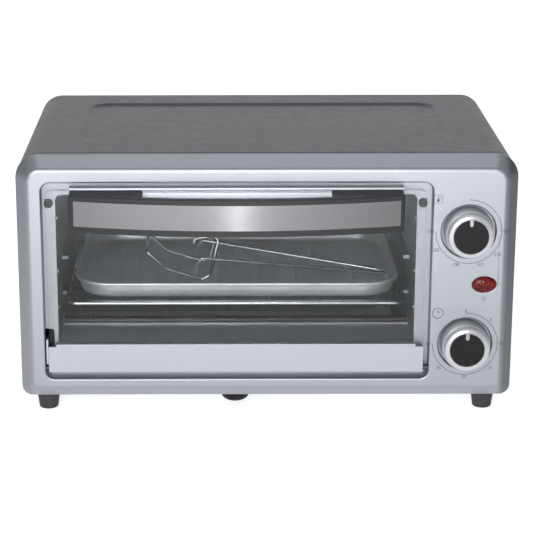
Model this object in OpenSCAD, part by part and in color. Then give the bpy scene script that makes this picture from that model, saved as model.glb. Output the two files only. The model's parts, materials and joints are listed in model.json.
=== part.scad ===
// Small countertop toaster oven with a drop-down glass door.
// x = 0 is the middle of the body, z = 0 is the surface that the feet stand on.
// Each part is drawn with y = 0 on the flat face of the bezel and +y into the oven.
// place() then shifts it so that the whole oven is centred in y.

/* [Body] */
// Width of the body
body_w = 365; // [355:1:375]
// Height of the body above its feet
body_h = 185; // [183:1:187]
// Rear face of the cover, measured from the bezel's flat face
body_d = 228; // [220:1:240]
// Height of the feet
foot_h = 15; // [12:1:18]
// Thickness of the sheet metal
sheet = 0.8; // [0.7:0.1:1]
// Radius of the upper corners
top_r = 17.5; // [14:0.5:20]
// Radius of the lower corners
bottom_r = 8; // [6:0.5:10]

/* [Bezel] */
// Width of the sloped border
slope_w = 9.2; // [7:0.1:11]
// Depth of the sloped border
slope_d = 11; // [9:0.5:12]
// Wall of the bezel shell
bezel_wall = 1.5; // [1.2:0.1:2]
// Left edge of the door recess
recess_x0 = -163.5; // [-165:0.5:-160]
// Right edge of the door recess
recess_x1 = 120; // [118:0.5:121]
// Lower edge of the door recess
recess_z0 = 31.6; // [30:0.1:33]
// Upper edge of the door recess
recess_z1 = 180.8; // [180:0.1:182]

/* [Cavity] */
// Left side of the cavity mouth
mouth_x0 = -154; // [-155:0.5:-153]
// Right side of the cavity mouth
mouth_x1 = 109.5; // [109:0.5:110]
// Bottom of the cavity mouth, hidden behind the door's rail
mouth_z0 = 57; // [54:0.5:57.5]
// Top of the cavity mouth
mouth_z1 = 170.1; // [169:0.1:171]
// Inner face of the cavity's back wall
cavity_y1 = 204; // [202:1:210]

/* [Door] */
// Height of the hinge axis
hinge_z = 39; // [38.5:0.1:39.5]
// Distance of the hinge axis behind the bezel face
hinge_y = 4; // [3.8:0.1:4.2]
// Thickness of the glass
glass_t = 4; // [3.8:0.1:4]
// Reach of the handle in front of the bezel face
handle_reach = 28; // [26:0.5:30]
// How far the handle bows forward
handle_bow = 15; // [12:0.5:16]

/* [Controls] */
// Centre of both knobs, across
knob_x = 146.5; // [146:0.5:148]
// Height of the temperature knob's centre
temperature_z = 144.2; // [144:0.1:146]
// Height of the timer knob's centre
timer_z = 58.4; // [58:0.1:60]
// Radius of the knob's skirt
knob_r = 18.2; // [17:0.1:18.4]
// Reach of a knob in front of the bezel face
knob_reach = 15.8; // [14:0.2:17]

/* [Rack and tray] */
// Radius of the rack's frame wire
frame_wire_r = 1.5; // [1.3:0.1:1.6]
// Radius of the rack's cross wires
cross_wire_r = 1; // [0.9:0.1:1.1]
// Number of cross wires
cross_wires = 9; // [7:2:11]
// Height of the baking tray
tray_h = 12.8; // [11:0.1:14]
// Radius of the tray's corners
tray_r = 28; // [22:1:30]

/* [Hidden] */
$fn = 48;

steel_grey = "#63636a";
silver = "#c3c6cd";
bright = "#dfe2e6";
inner_grey = "#8b9092";
black = "#26262a";

gland_reach = 9;
centre_y = (body_d + gland_reach - handle_reach) / 2;
body_top = foot_h + body_h;
bezel_back = slope_d + 2;

cover_gap = 0.5;
cover_x = body_w / 2 - cover_gap;
cover_z0 = foot_h + cover_gap;
cover_z1 = body_top - cover_gap;
cover_r = top_r - cover_gap;
cover_lower_r = bottom_r - cover_gap;
rear_lip = 9.5;
floor_lip = 16;
floor_screw_x = cover_x - 11.5;
panel_drop = 1.5;
panel_x = 139;
panel_y0 = 56;
panel_y1 = 194.5;
panel_r = 18;

base_z = cover_z0 + sheet;
base_top = base_z + sheet;
base_half = cover_x - cover_lower_r - 0.3;
frame_y = 10;
frame_back = frame_y + sheet;
frame_margin = 4.5;
cavity_mid = (mouth_x0 + mouth_x1) / 2;
cavity_top = 173;

well_r = 19.7;
well_depth = 5;
well_floor = well_depth + bezel_wall;
shaft_r = 3;
running = 0.05;
screw_r = 1.5;

lamp_x = 159.1;
lamp_z = 104.1;
lamp_w = 17.6;
lamp_h = 11.9;

rail_x0 = -161.2;
rail_x1 = 116.1;
rail_z0 = 36.1;
rail_z1 = 58.1;
rail_y0 = 1;
rail_y1 = 8.6;
rail_end_w = 5.9;
rail_end_drop = 2.1;
glass_y = 3.6;
glass_x0 = -161;
glass_x1 = 115.8;
glass_z0 = 42;
glass_z1 = 175.1;
trim_x0 = -143.1;
trim_x1 = 99.3;
trim_z0 = 169;
trim_z1 = 176.9;
trim_y0 = 2.8;
trim_y1 = 8.4;
pin_r = 2;
bracket_t = 3;

arm_x = -162.6;
arm_t = 1.4;
arm_r0 = 17;
arm_r1 = 23;
arm_tail = 35;

handle_x0 = -142.8;
handle_x1 = 98.5;
handle_z0 = 147.9;
handle_z1 = 174.9;
handle_t = 7;
plate_t = 0.8;
plate_x0 = -139.1;
plate_x1 = 95.5;
plate_z0 = 152.4;
plate_z1 = 171.4;
gap_x0 = -90.1;
gap_x1 = 46.8;
handle_mid = (handle_x0 + handle_x1) / 2;
handle_half = (handle_x1 - handle_x0) / 2;
handle_arc = (handle_half * handle_half + handle_bow * handle_bow) / (2 * handle_bow);
handle_arc_y = handle_arc - handle_reach;
handle_screw_x = [-116, 73];
handle_screw_z = 160;
bumper_x = [-158.9, 113.6];
bumper_z = 163.9;

rack_x0 = -150.6;
rack_x1 = 104.8;
rack_y0 = 23.4;
rack_y1 = 198;
rack_z = 83.3;
rack_corner = 9;
rack_mid = (rack_x0 + rack_x1) / 2;
cross_pitch = 26;
stay_inset = 7;
guide_gap = 0.3;
guide_w = 4.5;
guide_h = 2.4;
upper_guide_z = 107;
guide_y0 = 60;
guide_y1 = 200;
flange_depth = 14;
rivet_y = 17;
rivet_z = [82.5, 110.4, 150.9];
rivet_r = 1;
sill_y = 53.5;
sill_lip = 1.2;

tray_x0 = -143.4;
tray_x1 = 100.6;
tray_y0 = 26;
tray_y1 = 186;
tray_z = 85.2;
tray_draft = 4;
tray_wall = 0.8;
tray_bead = 1.3;
tray_rib_pitch = 15;

heater_r = 3.3;
heater_y = [60, 150];
upper_heater_z = 160;
lower_heater_z = 58;
heater_x0 = -170;
heater_x1 = 125;
lead_r = 1.1;

foot_r = 8.3;
foot_x = 164.3;
front_foot_y = 27;
rear_foot_y = 208;
floor_screw_y = [50, 115, 180];
back_screw_x = 90;
back_screw_z = [60, 150];
back_screw_inset = 5;
gland_x = 145;
gland_z = 45;

crumb_x0 = -150;
crumb_x1 = 103;
crumb_y0 = 23;
crumb_z = base_z - sheet - 0.2;
crumb_hinge_y = 203;
crumb_hinge_z = base_z - 2.1;
crumb_rod_r = 1.2;
crumb_knuckle_r = 1.9;
crumb_knob_x = cavity_mid - 0.7;
crumb_knob_y = 30;
crumb_knob_r = 11;
crumb_knob_dome = 7.6;
crumb_pan = [-144, 97, 40, 194];

// Shifts a part from the bezel's own frame to the frame of the whole oven.
module place() translate([0, -centre_y, 0]) children();

// Stands a flat outline, drawn as x and z, between two depths.
module upright(y0, y1) translate([0, y1, 0]) rotate([90, 0, 0]) linear_extrude(y1 - y0) children();

// Turns a profile of radius and forward reach about an axis along y.
module spin_forward(x, z) translate([x, 0, z]) rotate([90, 0, 0]) rotate_extrude() children();

// A round bar along y.
module bar_y(x, z, r, y0, y1) upright(y0, y1) translate([x, z]) circle(r);

// A round bar along x.
module bar_x(y, z, r, x0, x1) translate([x0, y, z]) rotate([0, 90, 0]) cylinder(r = r, h = x1 - x0);

// A rectangle with its own radius at the upper and the lower corners.
module soft_rect(x0, z0, x1, z1, upper, lower) {
    translate([x0, z0 + lower]) square([x1 - x0, z1 - z0 - upper - lower]);
    translate([x0 + lower, z0]) square([x1 - x0 - 2 * lower, z1 - z0 - upper]);
    translate([x0 + upper, z0 + lower]) square([x1 - x0 - 2 * upper, z1 - z0 - lower]);
    for (x = [x0 + upper, x1 - upper]) translate([x, z1 - upper]) circle(upper);
    for (x = [x0 + lower, x1 - lower]) translate([x, z0 + lower]) circle(lower);
}

// A plain block between two corners.
module block(a, b) translate(a) cube(b - a);

// A screw with a round head, pointing along +z from its head.
module screw(r, length, head_r, head_h) {
    cylinder(r = head_r, h = head_h);
    cylinder(r = r, h = length);
}

// A straight wire from a to b, with a ball at its far end to turn the next corner.
module wire_run(a, b, r) {
    v = b - a;
    flat = norm([v.x, v.y]);
    translate(a) rotate([0, atan2(flat, v.z), atan2(v.y, v.x)]) cylinder(r = r, h = norm(v));
}

// A bent wire through a list of points.
module wire_path(points, r) {
    for (i = [0 : len(points) - 2]) wire_run(points[i], points[i + 1], r);
    for (i = [1 : len(points) - 2]) translate(points[i]) sphere(r * 1.04);
}

// The outline of the oval lamp lens.
module lamp_oval(grow) {
    a = lamp_w / 2 + grow;
    b = lamp_h / 2 + grow;
    translate([lamp_x, lamp_z]) polygon([for (i = [0 : 31]) [a * cos(i * 11.25), b * sin(i * 11.25)]]);
}

// The bezel's outside, or its inside when it is moved in by one wall.
module bezel_form(inset) {
    x = body_w / 2 - inset;
    hull() {
        upright(slope_d, bezel_back) soft_rect(-x, foot_h + inset, x, body_top - inset, top_r, bottom_r);
        upright(inset, inset + 0.1)
            soft_rect(slope_w - x, foot_h + slope_w + inset, x - slope_w, body_top - slope_w - inset, 9, 4);
    }
}

// The outline of the door recess, grown by a wall.
module recess_outline(grow) {
    soft_rect(recess_x0 - grow, recess_z0 - grow, recess_x1 + grow, recess_z1 + grow, 6.5 + grow, 6.5 + grow);
}

module front_panel() color(silver) place() difference() {
    union() {
        difference() {
            bezel_form(0);
            bezel_form(bezel_wall);
            upright(slope_d, bezel_back + 1)
                soft_rect(bezel_wall - body_w / 2, foot_h + bezel_wall, body_w / 2 - bezel_wall,
                    body_top - bezel_wall, top_r - bezel_wall, bottom_r - bezel_wall);
        }
        upright(0.5, frame_y) recess_outline(bezel_wall);
        for (z = [temperature_z, timer_z]) bar_y(knob_x, z, well_r + bezel_wall, 0.5, well_floor);
    }
    upright(-1, frame_y + 1) recess_outline(0);
    for (z = [temperature_z, timer_z]) {
        bar_y(knob_x, z, well_r, -1, well_depth);
        bar_y(knob_x, z, shaft_r + 0.6, 0, well_floor + 1);
        for (x = [-11, 11]) bar_y(knob_x + x, z, screw_r, 0, well_floor + 1);
    }
    upright(-1, bezel_back) lamp_oval(0);
    for (x = [recess_x0 - 4.5, recess_x1 - 1]) bar_x(hinge_y, hinge_z, pin_r + 1, x, x + 5.5);
}

// The painted frame round the mouth, with a flange at each side that the cavity walls are riveted to.
module oven_front_frame() color(silver) place() {
    difference() {
        upright(frame_y, frame_back) difference() {
            soft_rect(recess_x0 - frame_margin, recess_z0 - 2, recess_x1 + frame_margin, recess_z1 + 3, 6, 6);
            soft_rect(mouth_x0, mouth_z0, mouth_x1, mouth_z1, 4.5, 1);
            soft_rect(-164.4, 52.9, -157.1, 67.8, 2, 2);
        }
        for (x = bumper_x) bar_y(x, bumper_z, screw_r, 0, 20);
    }
    for (x = [mouth_x0 - 2 * sheet, mouth_x1 + sheet]) difference() {
        block([x, frame_back, 74], [x + sheet, frame_back + flange_depth, 156]);
        for (z = rivet_z) bar_x(rivet_y, z, rivet_r, x - 1, x + 2);
    }
}

module vent_slots(count, pitch, width, length) {
    for (i = [0 : count - 1]) translate([(i - (count - 1) / 2) * pitch, 0])
        soft_rect(-width / 2, -length / 2, width / 2, length / 2, width / 2 - 0.01, width / 2 - 0.01);
}

module cover_outline(inset) {
    soft_rect(inset - cover_x, cover_z0 + inset, cover_x - inset, cover_z1 - inset,
        cover_r - inset, cover_lower_r - inset);
}

// The outline of the panel pressed into the cover's top, grown by a margin.
module panel_outline(grow) {
    soft_rect(-panel_x - grow, panel_y0 - grow, panel_x + grow, panel_y1 + grow,
        panel_r + grow, panel_r + grow);
}

module back_screw_holes() {
    for (s = [-1, 1], z = back_screw_z)
        bar_y(s * (cover_x - back_screw_inset), z, screw_r, body_d - 5, body_d + 5);
    for (x = [-back_screw_x, back_screw_x])
        bar_y(x, cover_z1 - back_screw_inset, screw_r, body_d - 5, body_d + 5);
}

module outer_cover() color(steel_grey) place() difference() {
    union() {
        difference() {
            upright(bezel_back, body_d) cover_outline(0);
            upright(bezel_back - 1, body_d - sheet) cover_outline(sheet);
        }
        translate([0, 0, cover_z1 - sheet - panel_drop])
            linear_extrude(panel_drop + sheet / 2) panel_outline(sheet);
    }
    translate([0, 0, cover_z1 - panel_drop]) linear_extrude(panel_drop + 1) panel_outline(0);
    upright(body_d - 2, body_d + 1)
        soft_rect(rear_lip - cover_x, 0, cover_x - rear_lip, cover_z1 - rear_lip, 8, 1);
    block([floor_lip - cover_x, bezel_back - 1, cover_z0 - 1], [cover_x - floor_lip, body_d + 1, base_z + 1]);
    for (s = [-1, 1], y = [front_foot_y, rear_foot_y])
        translate([s * foot_x, y, cover_z0 - 1]) cylinder(r = foot_r + 0.4, h = 3);
    translate([cover_x + 1, 150, 105]) rotate([90, 0, -90]) linear_extrude(3) vent_slots(12, 8, 3.2, 60);
    for (s = [-1, 1], y = floor_screw_y)
        translate([s * floor_screw_x, y, cover_z0 - 1]) cylinder(r = screw_r, h = 3);
    back_screw_holes();
}

module base_plate() color(inner_grey) place() difference() {
    block([-base_half, bezel_back + 0.2, base_z], [base_half, body_d - 2 * sheet - 0.2, base_top]);
    block([crumb_x0 + 4, 27, base_z - 1], [crumb_x1 - 4, crumb_hinge_y - 7, base_top + 1]);
    translate([143, 115, base_z - 1]) linear_extrude(3) vent_slots(7, 8, 3.2, 70);
    for (s = [-1, 1], y = floor_screw_y)
        translate([s * floor_screw_x, y, base_z - 1]) cylinder(r = screw_r, h = 3);
    for (s = [-1, 1], y = [front_foot_y, rear_foot_y])
        translate([s * foot_x, y, base_z - 1]) cylinder(r = 2, h = 3);
}

module back_panel() color(steel_grey) place() difference() {
    upright(body_d - 2 * sheet, body_d - sheet) cover_outline(sheet + 0.2);
    for (z = [70, 105, 140]) upright(body_d - 5, body_d + 1) translate([-20, z]) vent_slots(22, 9, 3.2, 22);
    bar_y(gland_x, gland_z, 6.5, body_d - 5, body_d + 1);
    back_screw_holes();
}

// One side wall of the cavity: the sheet, two pairs of pressed rack guides and the heater holes.
module cavity_side(x0, s) {
    x1 = x0 + s * sheet;
    rib = x0 - s * guide_w;
    difference() {
        union() {
            block([min(x0, x1), frame_back, base_top], [max(x0, x1), cavity_y1, cavity_top + sheet]);
            for (z = [rack_z - frame_wire_r - guide_gap - guide_h, upper_guide_z])
                block([min(x0, rib), guide_y0, z], [max(x0, rib), guide_y1, z + guide_h]);
        }
        for (y = heater_y, z = [upper_heater_z, lower_heater_z])
            bar_x(y, z, 5.5, min(x0, x1) - 1, max(x0, x1) + 1);
        for (z = rivet_z) bar_x(rivet_y, z, rivet_r, min(x0, x1) - 1, max(x0, x1) + 1);
    }
}

module cavity_left_wall() color(inner_grey) place() cavity_side(mouth_x0, -1);

module cavity_right_wall() color(inner_grey) place() cavity_side(mouth_x1, 1);

module cavity_ceiling() color(inner_grey) place() difference() {
    block([mouth_x0, frame_back, cavity_top], [mouth_x1, cavity_y1, cavity_top + sheet]);
    translate([cavity_mid, 105, cavity_top - 1]) linear_extrude(3) vent_slots(3, 30, 3, 12);
}

module cavity_back_wall() color(inner_grey) place()
    block([mouth_x0 - sheet, cavity_y1, base_top], [mouth_x1 + sheet, cavity_y1 + sheet, cavity_top + sheet]);

// The shelf behind the door's rail, turned up at its rear edge.
module sill_plate() color(inner_grey) place() {
    block([mouth_x0, frame_back, mouth_z0 - sheet], [mouth_x1, sill_y, mouth_z0]);
    block([mouth_x0, sill_y - sheet, mouth_z0 - sheet], [mouth_x1, sill_y, mouth_z0 + sill_lip]);
}

module heater_pair(z) for (y = heater_y) bar_x(y, z, heater_r, heater_x0, heater_x1);

module upper_heaters() color("#a9a7a2") place() heater_pair(upper_heater_z);

module lower_heaters() color("#a9a7a2") place() heater_pair(lower_heater_z);

module heater_insulators() color("#e8e4da") place()
    for (y = heater_y, z = [upper_heater_z, lower_heater_z], side = [0, 1]) {
        wall = side == 0 ? mouth_x0 - sheet : mouth_x1 + sheet;
        out = side == 0 ? wall - 6 : wall;
        sleeve = side == 0 ? wall : wall - sheet;
        difference() {
            union() {
                bar_x(y, z, 8, out, out + 6);
                bar_x(y, z, 5.5, sleeve, sleeve + sheet);
            }
            bar_x(y, z, heater_r, out - 1, out + 9);
        }
    }

// The body of a control, with the blind bore that its shaft turns in.
module control_body(z, half_w, half_h, depth) difference() {
    block([knob_x - half_w, well_floor, z - half_h], [knob_x + half_w, well_floor + depth, z + half_h]);
    bar_y(knob_x, z, shaft_r + running, well_floor - 1, well_floor + 12);
    for (x = [-11, 11]) bar_y(knob_x + x, z, screw_r, well_floor - 1, well_floor + 5);
}

module thermostat() color("#d9d5c9") place() control_body(temperature_z, 17, 14, 22);

module timer() color("#b9bcc2") place() control_body(timer_z, 21, 22, 30);

module timer_bell() color(bright) place() {
    y = well_floor + 30;
    spin_forward(knob_x, timer_z) polygon(concat([[0, -y], [3, -y], [3, -y - 6]],
        [for (a = [80 : -10 : 0]) [19 * cos(a) + 1, -y - 8 + 7 * sin(a) - 6]],
        [for (a = [0 : 10 : 80]) [18 * cos(a) + 1, -y - 9 + 6 * sin(a) - 6]], [[0, -y - 10]]));
}

module control_screws() color(bright) place()
    for (z = [temperature_z, timer_z], x = [-11, 11]) translate([knob_x + x, well_depth - 1.3, z])
        rotate([-90, 0, 0]) screw(screw_r, 1.3 + bezel_wall + 5, 2.6, 1.3);

module indicator_lens() color("#c2201c") place() {
    upright(-1, 2.8) lamp_oval(0);
    upright(-2.2, -1) lamp_oval(-1.6);
    upright(bezel_wall, 2.8) lamp_oval(1.4);
}

module indicator_lamp() color("#f0b8a0") place() {
    bar_y(lamp_x, lamp_z, 4.6, 2.8, 9);
    bar_y(lamp_x, lamp_z, 3, 9, 22);
}

module terminal_block() color("#efe9dc") place() difference() {
    block([125, 178, base_top], [165, 192, base_top + 13]);
    for (x = [131, 140.3, 149.6, lamp_x]) translate([x, 185, base_top + 7]) cylinder(r = 2, h = 8);
}

// Five leads run from the terminals, each in square turns.
module internal_wires() color("#b23a2e") place() {
    plug = base_top + 7;
    rear = 185;
    wire_path([[131, rear, plug], [131, rear, 40], [131, well_floor + 30, 40]], lead_r);
    wire_path([[140.3, rear, plug], [140.3, rear, 135], [140.3, well_floor + 22, 135]], lead_r);
    wire_path([[heater_x1, heater_y[1], lower_heater_z], [149.6, heater_y[1], lower_heater_z],
        [149.6, rear, lower_heater_z], [149.6, rear, plug]], lead_r);
    wire_path([[heater_x1, heater_y[0], upper_heater_z], [135, heater_y[0], upper_heater_z],
        [135, heater_y[0], 150], [135, well_floor + 22, 150]], lead_r);
    wire_path([[lamp_x, 22, lamp_z], [lamp_x, rear, lamp_z], [lamp_x, rear, plug]], lead_r);
}

module cord_gland() color(black) place() difference() {
    union() {
        bar_y(gland_x, gland_z, 6.5, body_d - 10, body_d + gland_reach);
        bar_y(gland_x, gland_z, 9.5, body_d - sheet, body_d + 2);
        upright(body_d - 8, body_d - 2 * sheet) translate([gland_x, gland_z]) circle(10, $fn = 6);
    }
    bar_y(gland_x, gland_z, 3.4, body_d - 11, body_d + gland_reach + 1);
}

// A tapered foot with a recess for its screw.
module foot(x, y) translate([x, y, 0]) difference() {
    rotate_extrude() polygon(concat([[0, 0]], [for (a = [-90 : 15 : 0]) [5.4 + 2 * cos(a), 2 + 2 * sin(a)]],
        [[foot_r, base_z], [0, base_z]]));
    translate([0, 0, -1]) cylinder(r = 4, h = 10);
    cylinder(r = 2, h = base_z + 1);
}

module front_feet() color(black) place() for (s = [-1, 1]) foot(s * foot_x, front_foot_y);

module rear_feet() color(black) place() for (s = [-1, 1]) foot(s * foot_x, rear_foot_y);

module foot_screws() color(bright) place()
    for (s = [-1, 1], y = [front_foot_y, rear_foot_y])
        translate([s * foot_x, y, 7]) screw(2, base_top - 4, 3.6, 2);

module base_screws() color(bright) place() for (s = [-1, 1], y = floor_screw_y)
    translate([s * floor_screw_x, y, cover_z0 - 1.6]) screw(screw_r, 7, 2.9, 1.6);

module back_screws() color(bright) place() {
    for (s = [-1, 1], z = back_screw_z) translate([s * (cover_x - back_screw_inset), body_d + 1.8, z])
        rotate([90, 0, 0]) screw(screw_r, 8, 2.9, 1.8);
    for (x = [-back_screw_x, back_screw_x]) translate([x, body_d + 1.8, cover_z1 - back_screw_inset])
        rotate([90, 0, 0]) screw(screw_r, 8, 2.9, 1.8);
}

module door_bumpers() color(black) place() for (x = bumper_x) {
    bar_y(x, bumper_z, 3.2, 8, frame_y);
    bar_y(x, bumper_z, screw_r, frame_y, frame_back + 2);
}

// Rivets through the cavity's side walls and the frame's flanges, with round heads inside the cavity.
module frame_rivets() color(bright) place() for (z = rivet_z, s = [-1, 1]) {
    wall = s < 0 ? mouth_x0 : mouth_x1;
    translate([wall, rivet_y, z]) rotate([0, 90 * s, 0]) {
        cylinder(r = rivet_r, h = 2 * sheet + 0.5);
        translate([0, 0, -0.7]) cylinder(r = 1.6 * rivet_r, h = 0.7);
        translate([0, 0, 2 * sheet]) cylinder(r = 1.4 * rivet_r, h = 0.5);
    }
}

module hinge_brackets() color(inner_grey) place()
    for (x = [recess_x0 - bezel_wall - bracket_t, recess_x1 + bezel_wall]) difference() {
        block([x, bezel_wall, hinge_z - 5], [x + bracket_t, frame_y, hinge_z + 5]);
        bar_x(hinge_y, hinge_z, pin_r + running, x - 1, x + bracket_t + 1);
    }

// One point on the spring's helix, and one ring of its wire.
function helix_ring(i, turns, steps, r, wire, pitch) = [
    for (k = [0 : 5]) let (t = i * 360 / steps, a = k * 60)
        [(r + wire * cos(a)) * cos(t), (r + wire * cos(a)) * sin(t), i * pitch / steps + wire * sin(a)]
];

module coil(turns, steps, r, wire, pitch) {
    rings = turns * steps;
    points = [for (i = [0 : rings]) each helix_ring(i, turns, steps, r, wire, pitch)];
    sides = [for (i = [0 : rings - 1], k = [0 : 5]) let (n = (k + 1) % 6)
        each [[i * 6 + k, i * 6 + n, i * 6 + 6 + n], [i * 6 + k, i * 6 + 6 + n, i * 6 + 6 + k]]];
    polyhedron(points, concat(sides, [[5, 4, 3, 2, 1, 0]], [[for (k = [0 : 5]) rings * 6 + k]]));
}

module door_spring() color(bright) place() translate([arm_x + arm_t / 2, 25, 27.5]) rotate([-90, 0, 0])
    coil(14, 10, 3, 0.5, 2.4);

module crumb_hinge_rod() color(bright) place()
    bar_x(crumb_hinge_y, crumb_hinge_z, crumb_rod_r, crumb_x0 - 2.5, crumb_x1 + 2.5);

module crumb_hinge_brackets() color(inner_grey) place()
    for (x = [crumb_x0 - 2.5, crumb_x1 + 1]) difference() {
        block([x, crumb_hinge_y - 4, crumb_hinge_z - 3], [x + 1.5, crumb_hinge_y + 4, base_z]);
        bar_x(crumb_hinge_y, crumb_hinge_z, crumb_rod_r, x - 1, x + 3);
    }

module door_glass() color("#8fa79f80") place() difference() {
    upright(glass_y, glass_y + glass_t) soft_rect(glass_x0, glass_z0, glass_x1, glass_z1, 5, 1);
    for (x = handle_screw_x) bar_y(x, handle_screw_z, 2, 0, 20);
}

module door_bottom_rail() color(silver) place() difference() {
    block([rail_x0, rail_y0, rail_z0], [rail_x1, rail_y1, rail_z1]);
    block([glass_x0, glass_y, glass_z0], [glass_x1, glass_y + glass_t, rail_z1 + 1]);
    for (x = [rail_x0, rail_x1 - rail_end_w])
        block([x - 1, rail_y0 - 1, rail_z1 - rail_end_drop], [x + rail_end_w + 1, glass_y, rail_z1 + 1]);
    for (x = [rail_x0, rail_x1 - 6]) bar_x(hinge_y, hinge_z, pin_r, x - 1, x + 7);
}

module door_top_trim() color(bright) place() difference() {
    block([trim_x0, trim_y0, trim_z0], [trim_x1, trim_y1, trim_z1]);
    block([trim_x0 - 1, glass_y, trim_z0 - 1], [trim_x1 + 1, glass_y + glass_t, glass_z1]);
}

// The outline of the bowed handle seen from above, between its front arc and the door.
module handle_outline(front, x0, x1, back) intersection() {
    translate([handle_mid, handle_arc_y]) circle(handle_arc - front, $fn = 180);
    translate([x0, -40]) square([x1 - x0, 40 + back]);
}

module handle_grip() color(black) place() difference() {
    union() {
        translate([0, 0, handle_z0]) linear_extrude(handle_z1 - handle_z0) difference() {
            handle_outline(0, handle_x0, handle_x1, trim_y0);
            handle_outline(handle_t, gap_x0, gap_x1, 20);
        }
        block([handle_x0, 0, handle_z0], [gap_x0, glass_y, trim_z0 - 0.2]);
        block([gap_x1, 0, handle_z0], [handle_x1, glass_y, trim_z0 - 0.2]);
    }
    translate([0, 0, plate_z0]) linear_extrude(plate_z1 - plate_z0) difference() {
        handle_outline(-1, plate_x0, plate_x1, 0);
        handle_outline(plate_t, handle_x0, handle_x1, 1);
    }
    for (x = handle_screw_x) bar_y(x, handle_screw_z, 2, -8, 5);
}

module handle_plate() color("#a7a7ab") place()
    translate([0, 0, plate_z0]) linear_extrude(plate_z1 - plate_z0) difference() {
        handle_outline(0, plate_x0, plate_x1, 0);
        handle_outline(plate_t, handle_x0, handle_x1, 1);
    }

module handle_screws() color(bright) place() for (x = handle_screw_x)
    translate([x, glass_y + glass_t + 1.8, handle_screw_z])
        rotate([90, 0, 0]) screw(2, 1.8 + glass_t + 11, 4, 1.8);

module hinge_pins() color(bright) place() {
    bar_x(hinge_y, hinge_z, pin_r, recess_x0 - bezel_wall - bracket_t, rail_x0 + 6);
    bar_x(hinge_y, hinge_z, pin_r, rail_x1 - 6, recess_x1 + bezel_wall + bracket_t);
}

// The door arm is an arc about the hinge axis, so it slides through its slot as the door turns.
module door_arm() color(bright) place() translate([arm_x, hinge_y, hinge_z]) rotate([90, 0, 90])
    linear_extrude(arm_t) difference() {
        union() {
            difference() {
                circle(arm_r1);
                circle(arm_r0);
                translate([-40, -40]) square([37, 80]);
                rotate(-arm_tail) translate([-40, -40]) square([80, 40]);
            }
            translate([-3, 4]) square([6, 16]);
        }
        circle(pin_r + 0.4);
    }

// Two quarter bends and four runs make the rack's closed frame.
module wire_frame() {
    x0 = rack_x0 + frame_wire_r;
    x1 = rack_x1 - frame_wire_r;
    c = rack_corner;
    for (y = [rack_y0, rack_y1]) bar_x(y, rack_z, frame_wire_r, x0 + c, x1 - c);
    for (x = [x0, x1]) bar_y(x, rack_z, frame_wire_r, rack_y0 + c, rack_y1 - c);
    corners = [[x1 - c, rack_y1 - c, 0], [x0 + c, rack_y1 - c, 90], [x0 + c, rack_y0 + c, 180],
        [x1 - c, rack_y0 + c, 270]];
    for (k = corners) translate([k.x, k.y, rack_z]) rotate([0, 0, k.z])
        rotate_extrude(angle = 90) translate([c, 0]) circle(frame_wire_r);
}

module wire_rack() color(bright) place() {
    wire_frame();
    for (i = [0 : cross_wires - 1])
        bar_y(rack_mid + (i - (cross_wires - 1) / 2) * cross_pitch, rack_z + 0.6, cross_wire_r,
            rack_y0, rack_y1);
    for (y = [rack_y0 + stay_inset, rack_y1 - stay_inset])
        bar_x(y, rack_z - 0.6, cross_wire_r, rack_x0 + frame_wire_r, rack_x1 - frame_wire_r);
}

module tray_outline(inset) {
    soft_rect(tray_x0 + inset, tray_y0 + inset, tray_x1 - inset, tray_y1 - inset,
        tray_r - inset, tray_r - inset);
}

module tray_form(inset, z0, z1) hull() {
    translate([0, 0, z0]) linear_extrude(0.1) tray_outline(tray_draft + tray_bead + inset);
    translate([0, 0, z1 - 0.1]) linear_extrude(0.1) tray_outline(tray_bead + inset);
}

module baking_tray() color("#9a9da1") place() {
    difference() {
        union() {
            tray_form(0, tray_z, tray_z + tray_h);
            translate([0, 0, tray_z + tray_h - 1.6]) linear_extrude(1.6) tray_outline(0);
        }
        tray_form(tray_wall, tray_z + tray_wall, tray_z + tray_h + 0.2);
    }
    for (i = [-6 : 6]) block([cavity_mid + i * tray_rib_pitch - 1.2, tray_y0 + 30, tray_z + 0.4],
        [cavity_mid + i * tray_rib_pitch + 1.2, tray_y1 - 30, tray_z + tray_wall + 0.6]);
}

// The lifter is a jaw that hooks the tray's rim, and a long hairpin handle.
lifter_near = 68;
lifter_far = 118;
lifter_rest = tray_z + 3.1;
lifter_r = 1.2;

module lifter_side(y, top) {
    wire_path([[-91, y, lifter_rest + 23], [-76, y, lifter_rest + 8.5], [-48, y, lifter_rest],
        [-42.5, y, lifter_rest + 3], [-38.5, y, lifter_rest + 16], [-35.5, y, top - 2.5], [-38, y, top],
        [-53, y, top - 1.5], [-54, y, top - 5]], lifter_r);
}

module tray_lifter() color(bright) place() {
    lifter_side(lifter_near, lifter_rest + 34);
    lifter_side(lifter_far, lifter_rest + 34);
    wire_run([-91, lifter_near, lifter_rest + 23], [-91, lifter_far, lifter_rest + 23], lifter_r);
    for (y = [lifter_near, lifter_far]) translate([-91, y, lifter_rest + 23]) sphere(lifter_r * 1.04);
    wire_path([[-38.5, lifter_near, lifter_rest + 17], [88, 76, lifter_rest + 2],
        [93, 79, lifter_rest + 1.4], [93, 84, lifter_rest + 1.4], [88, 87, lifter_rest + 2],
        [-38.5, lifter_far, lifter_rest + 17]], lifter_r);
}

// A knob: a slightly tapered skirt, a rounded ring and a seat for its face.
module knob_body(z) difference() {
    spin_forward(knob_x, z) polygon(concat([[0, -2], [knob_r, -2], [knob_r - 0.9, knob_reach - 4]],
        [for (a = [0 : 10 : 90]) [knob_r - 3.9 + 3 * cos(a), knob_reach - 3.4 + 3 * sin(a)]],
        [[12.8, knob_reach - 0.6], [12.8, knob_reach - 2], [0, knob_reach - 2]]));
    bar_y(knob_x, z, shaft_r, 3 - knob_reach, 5);
}

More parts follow.
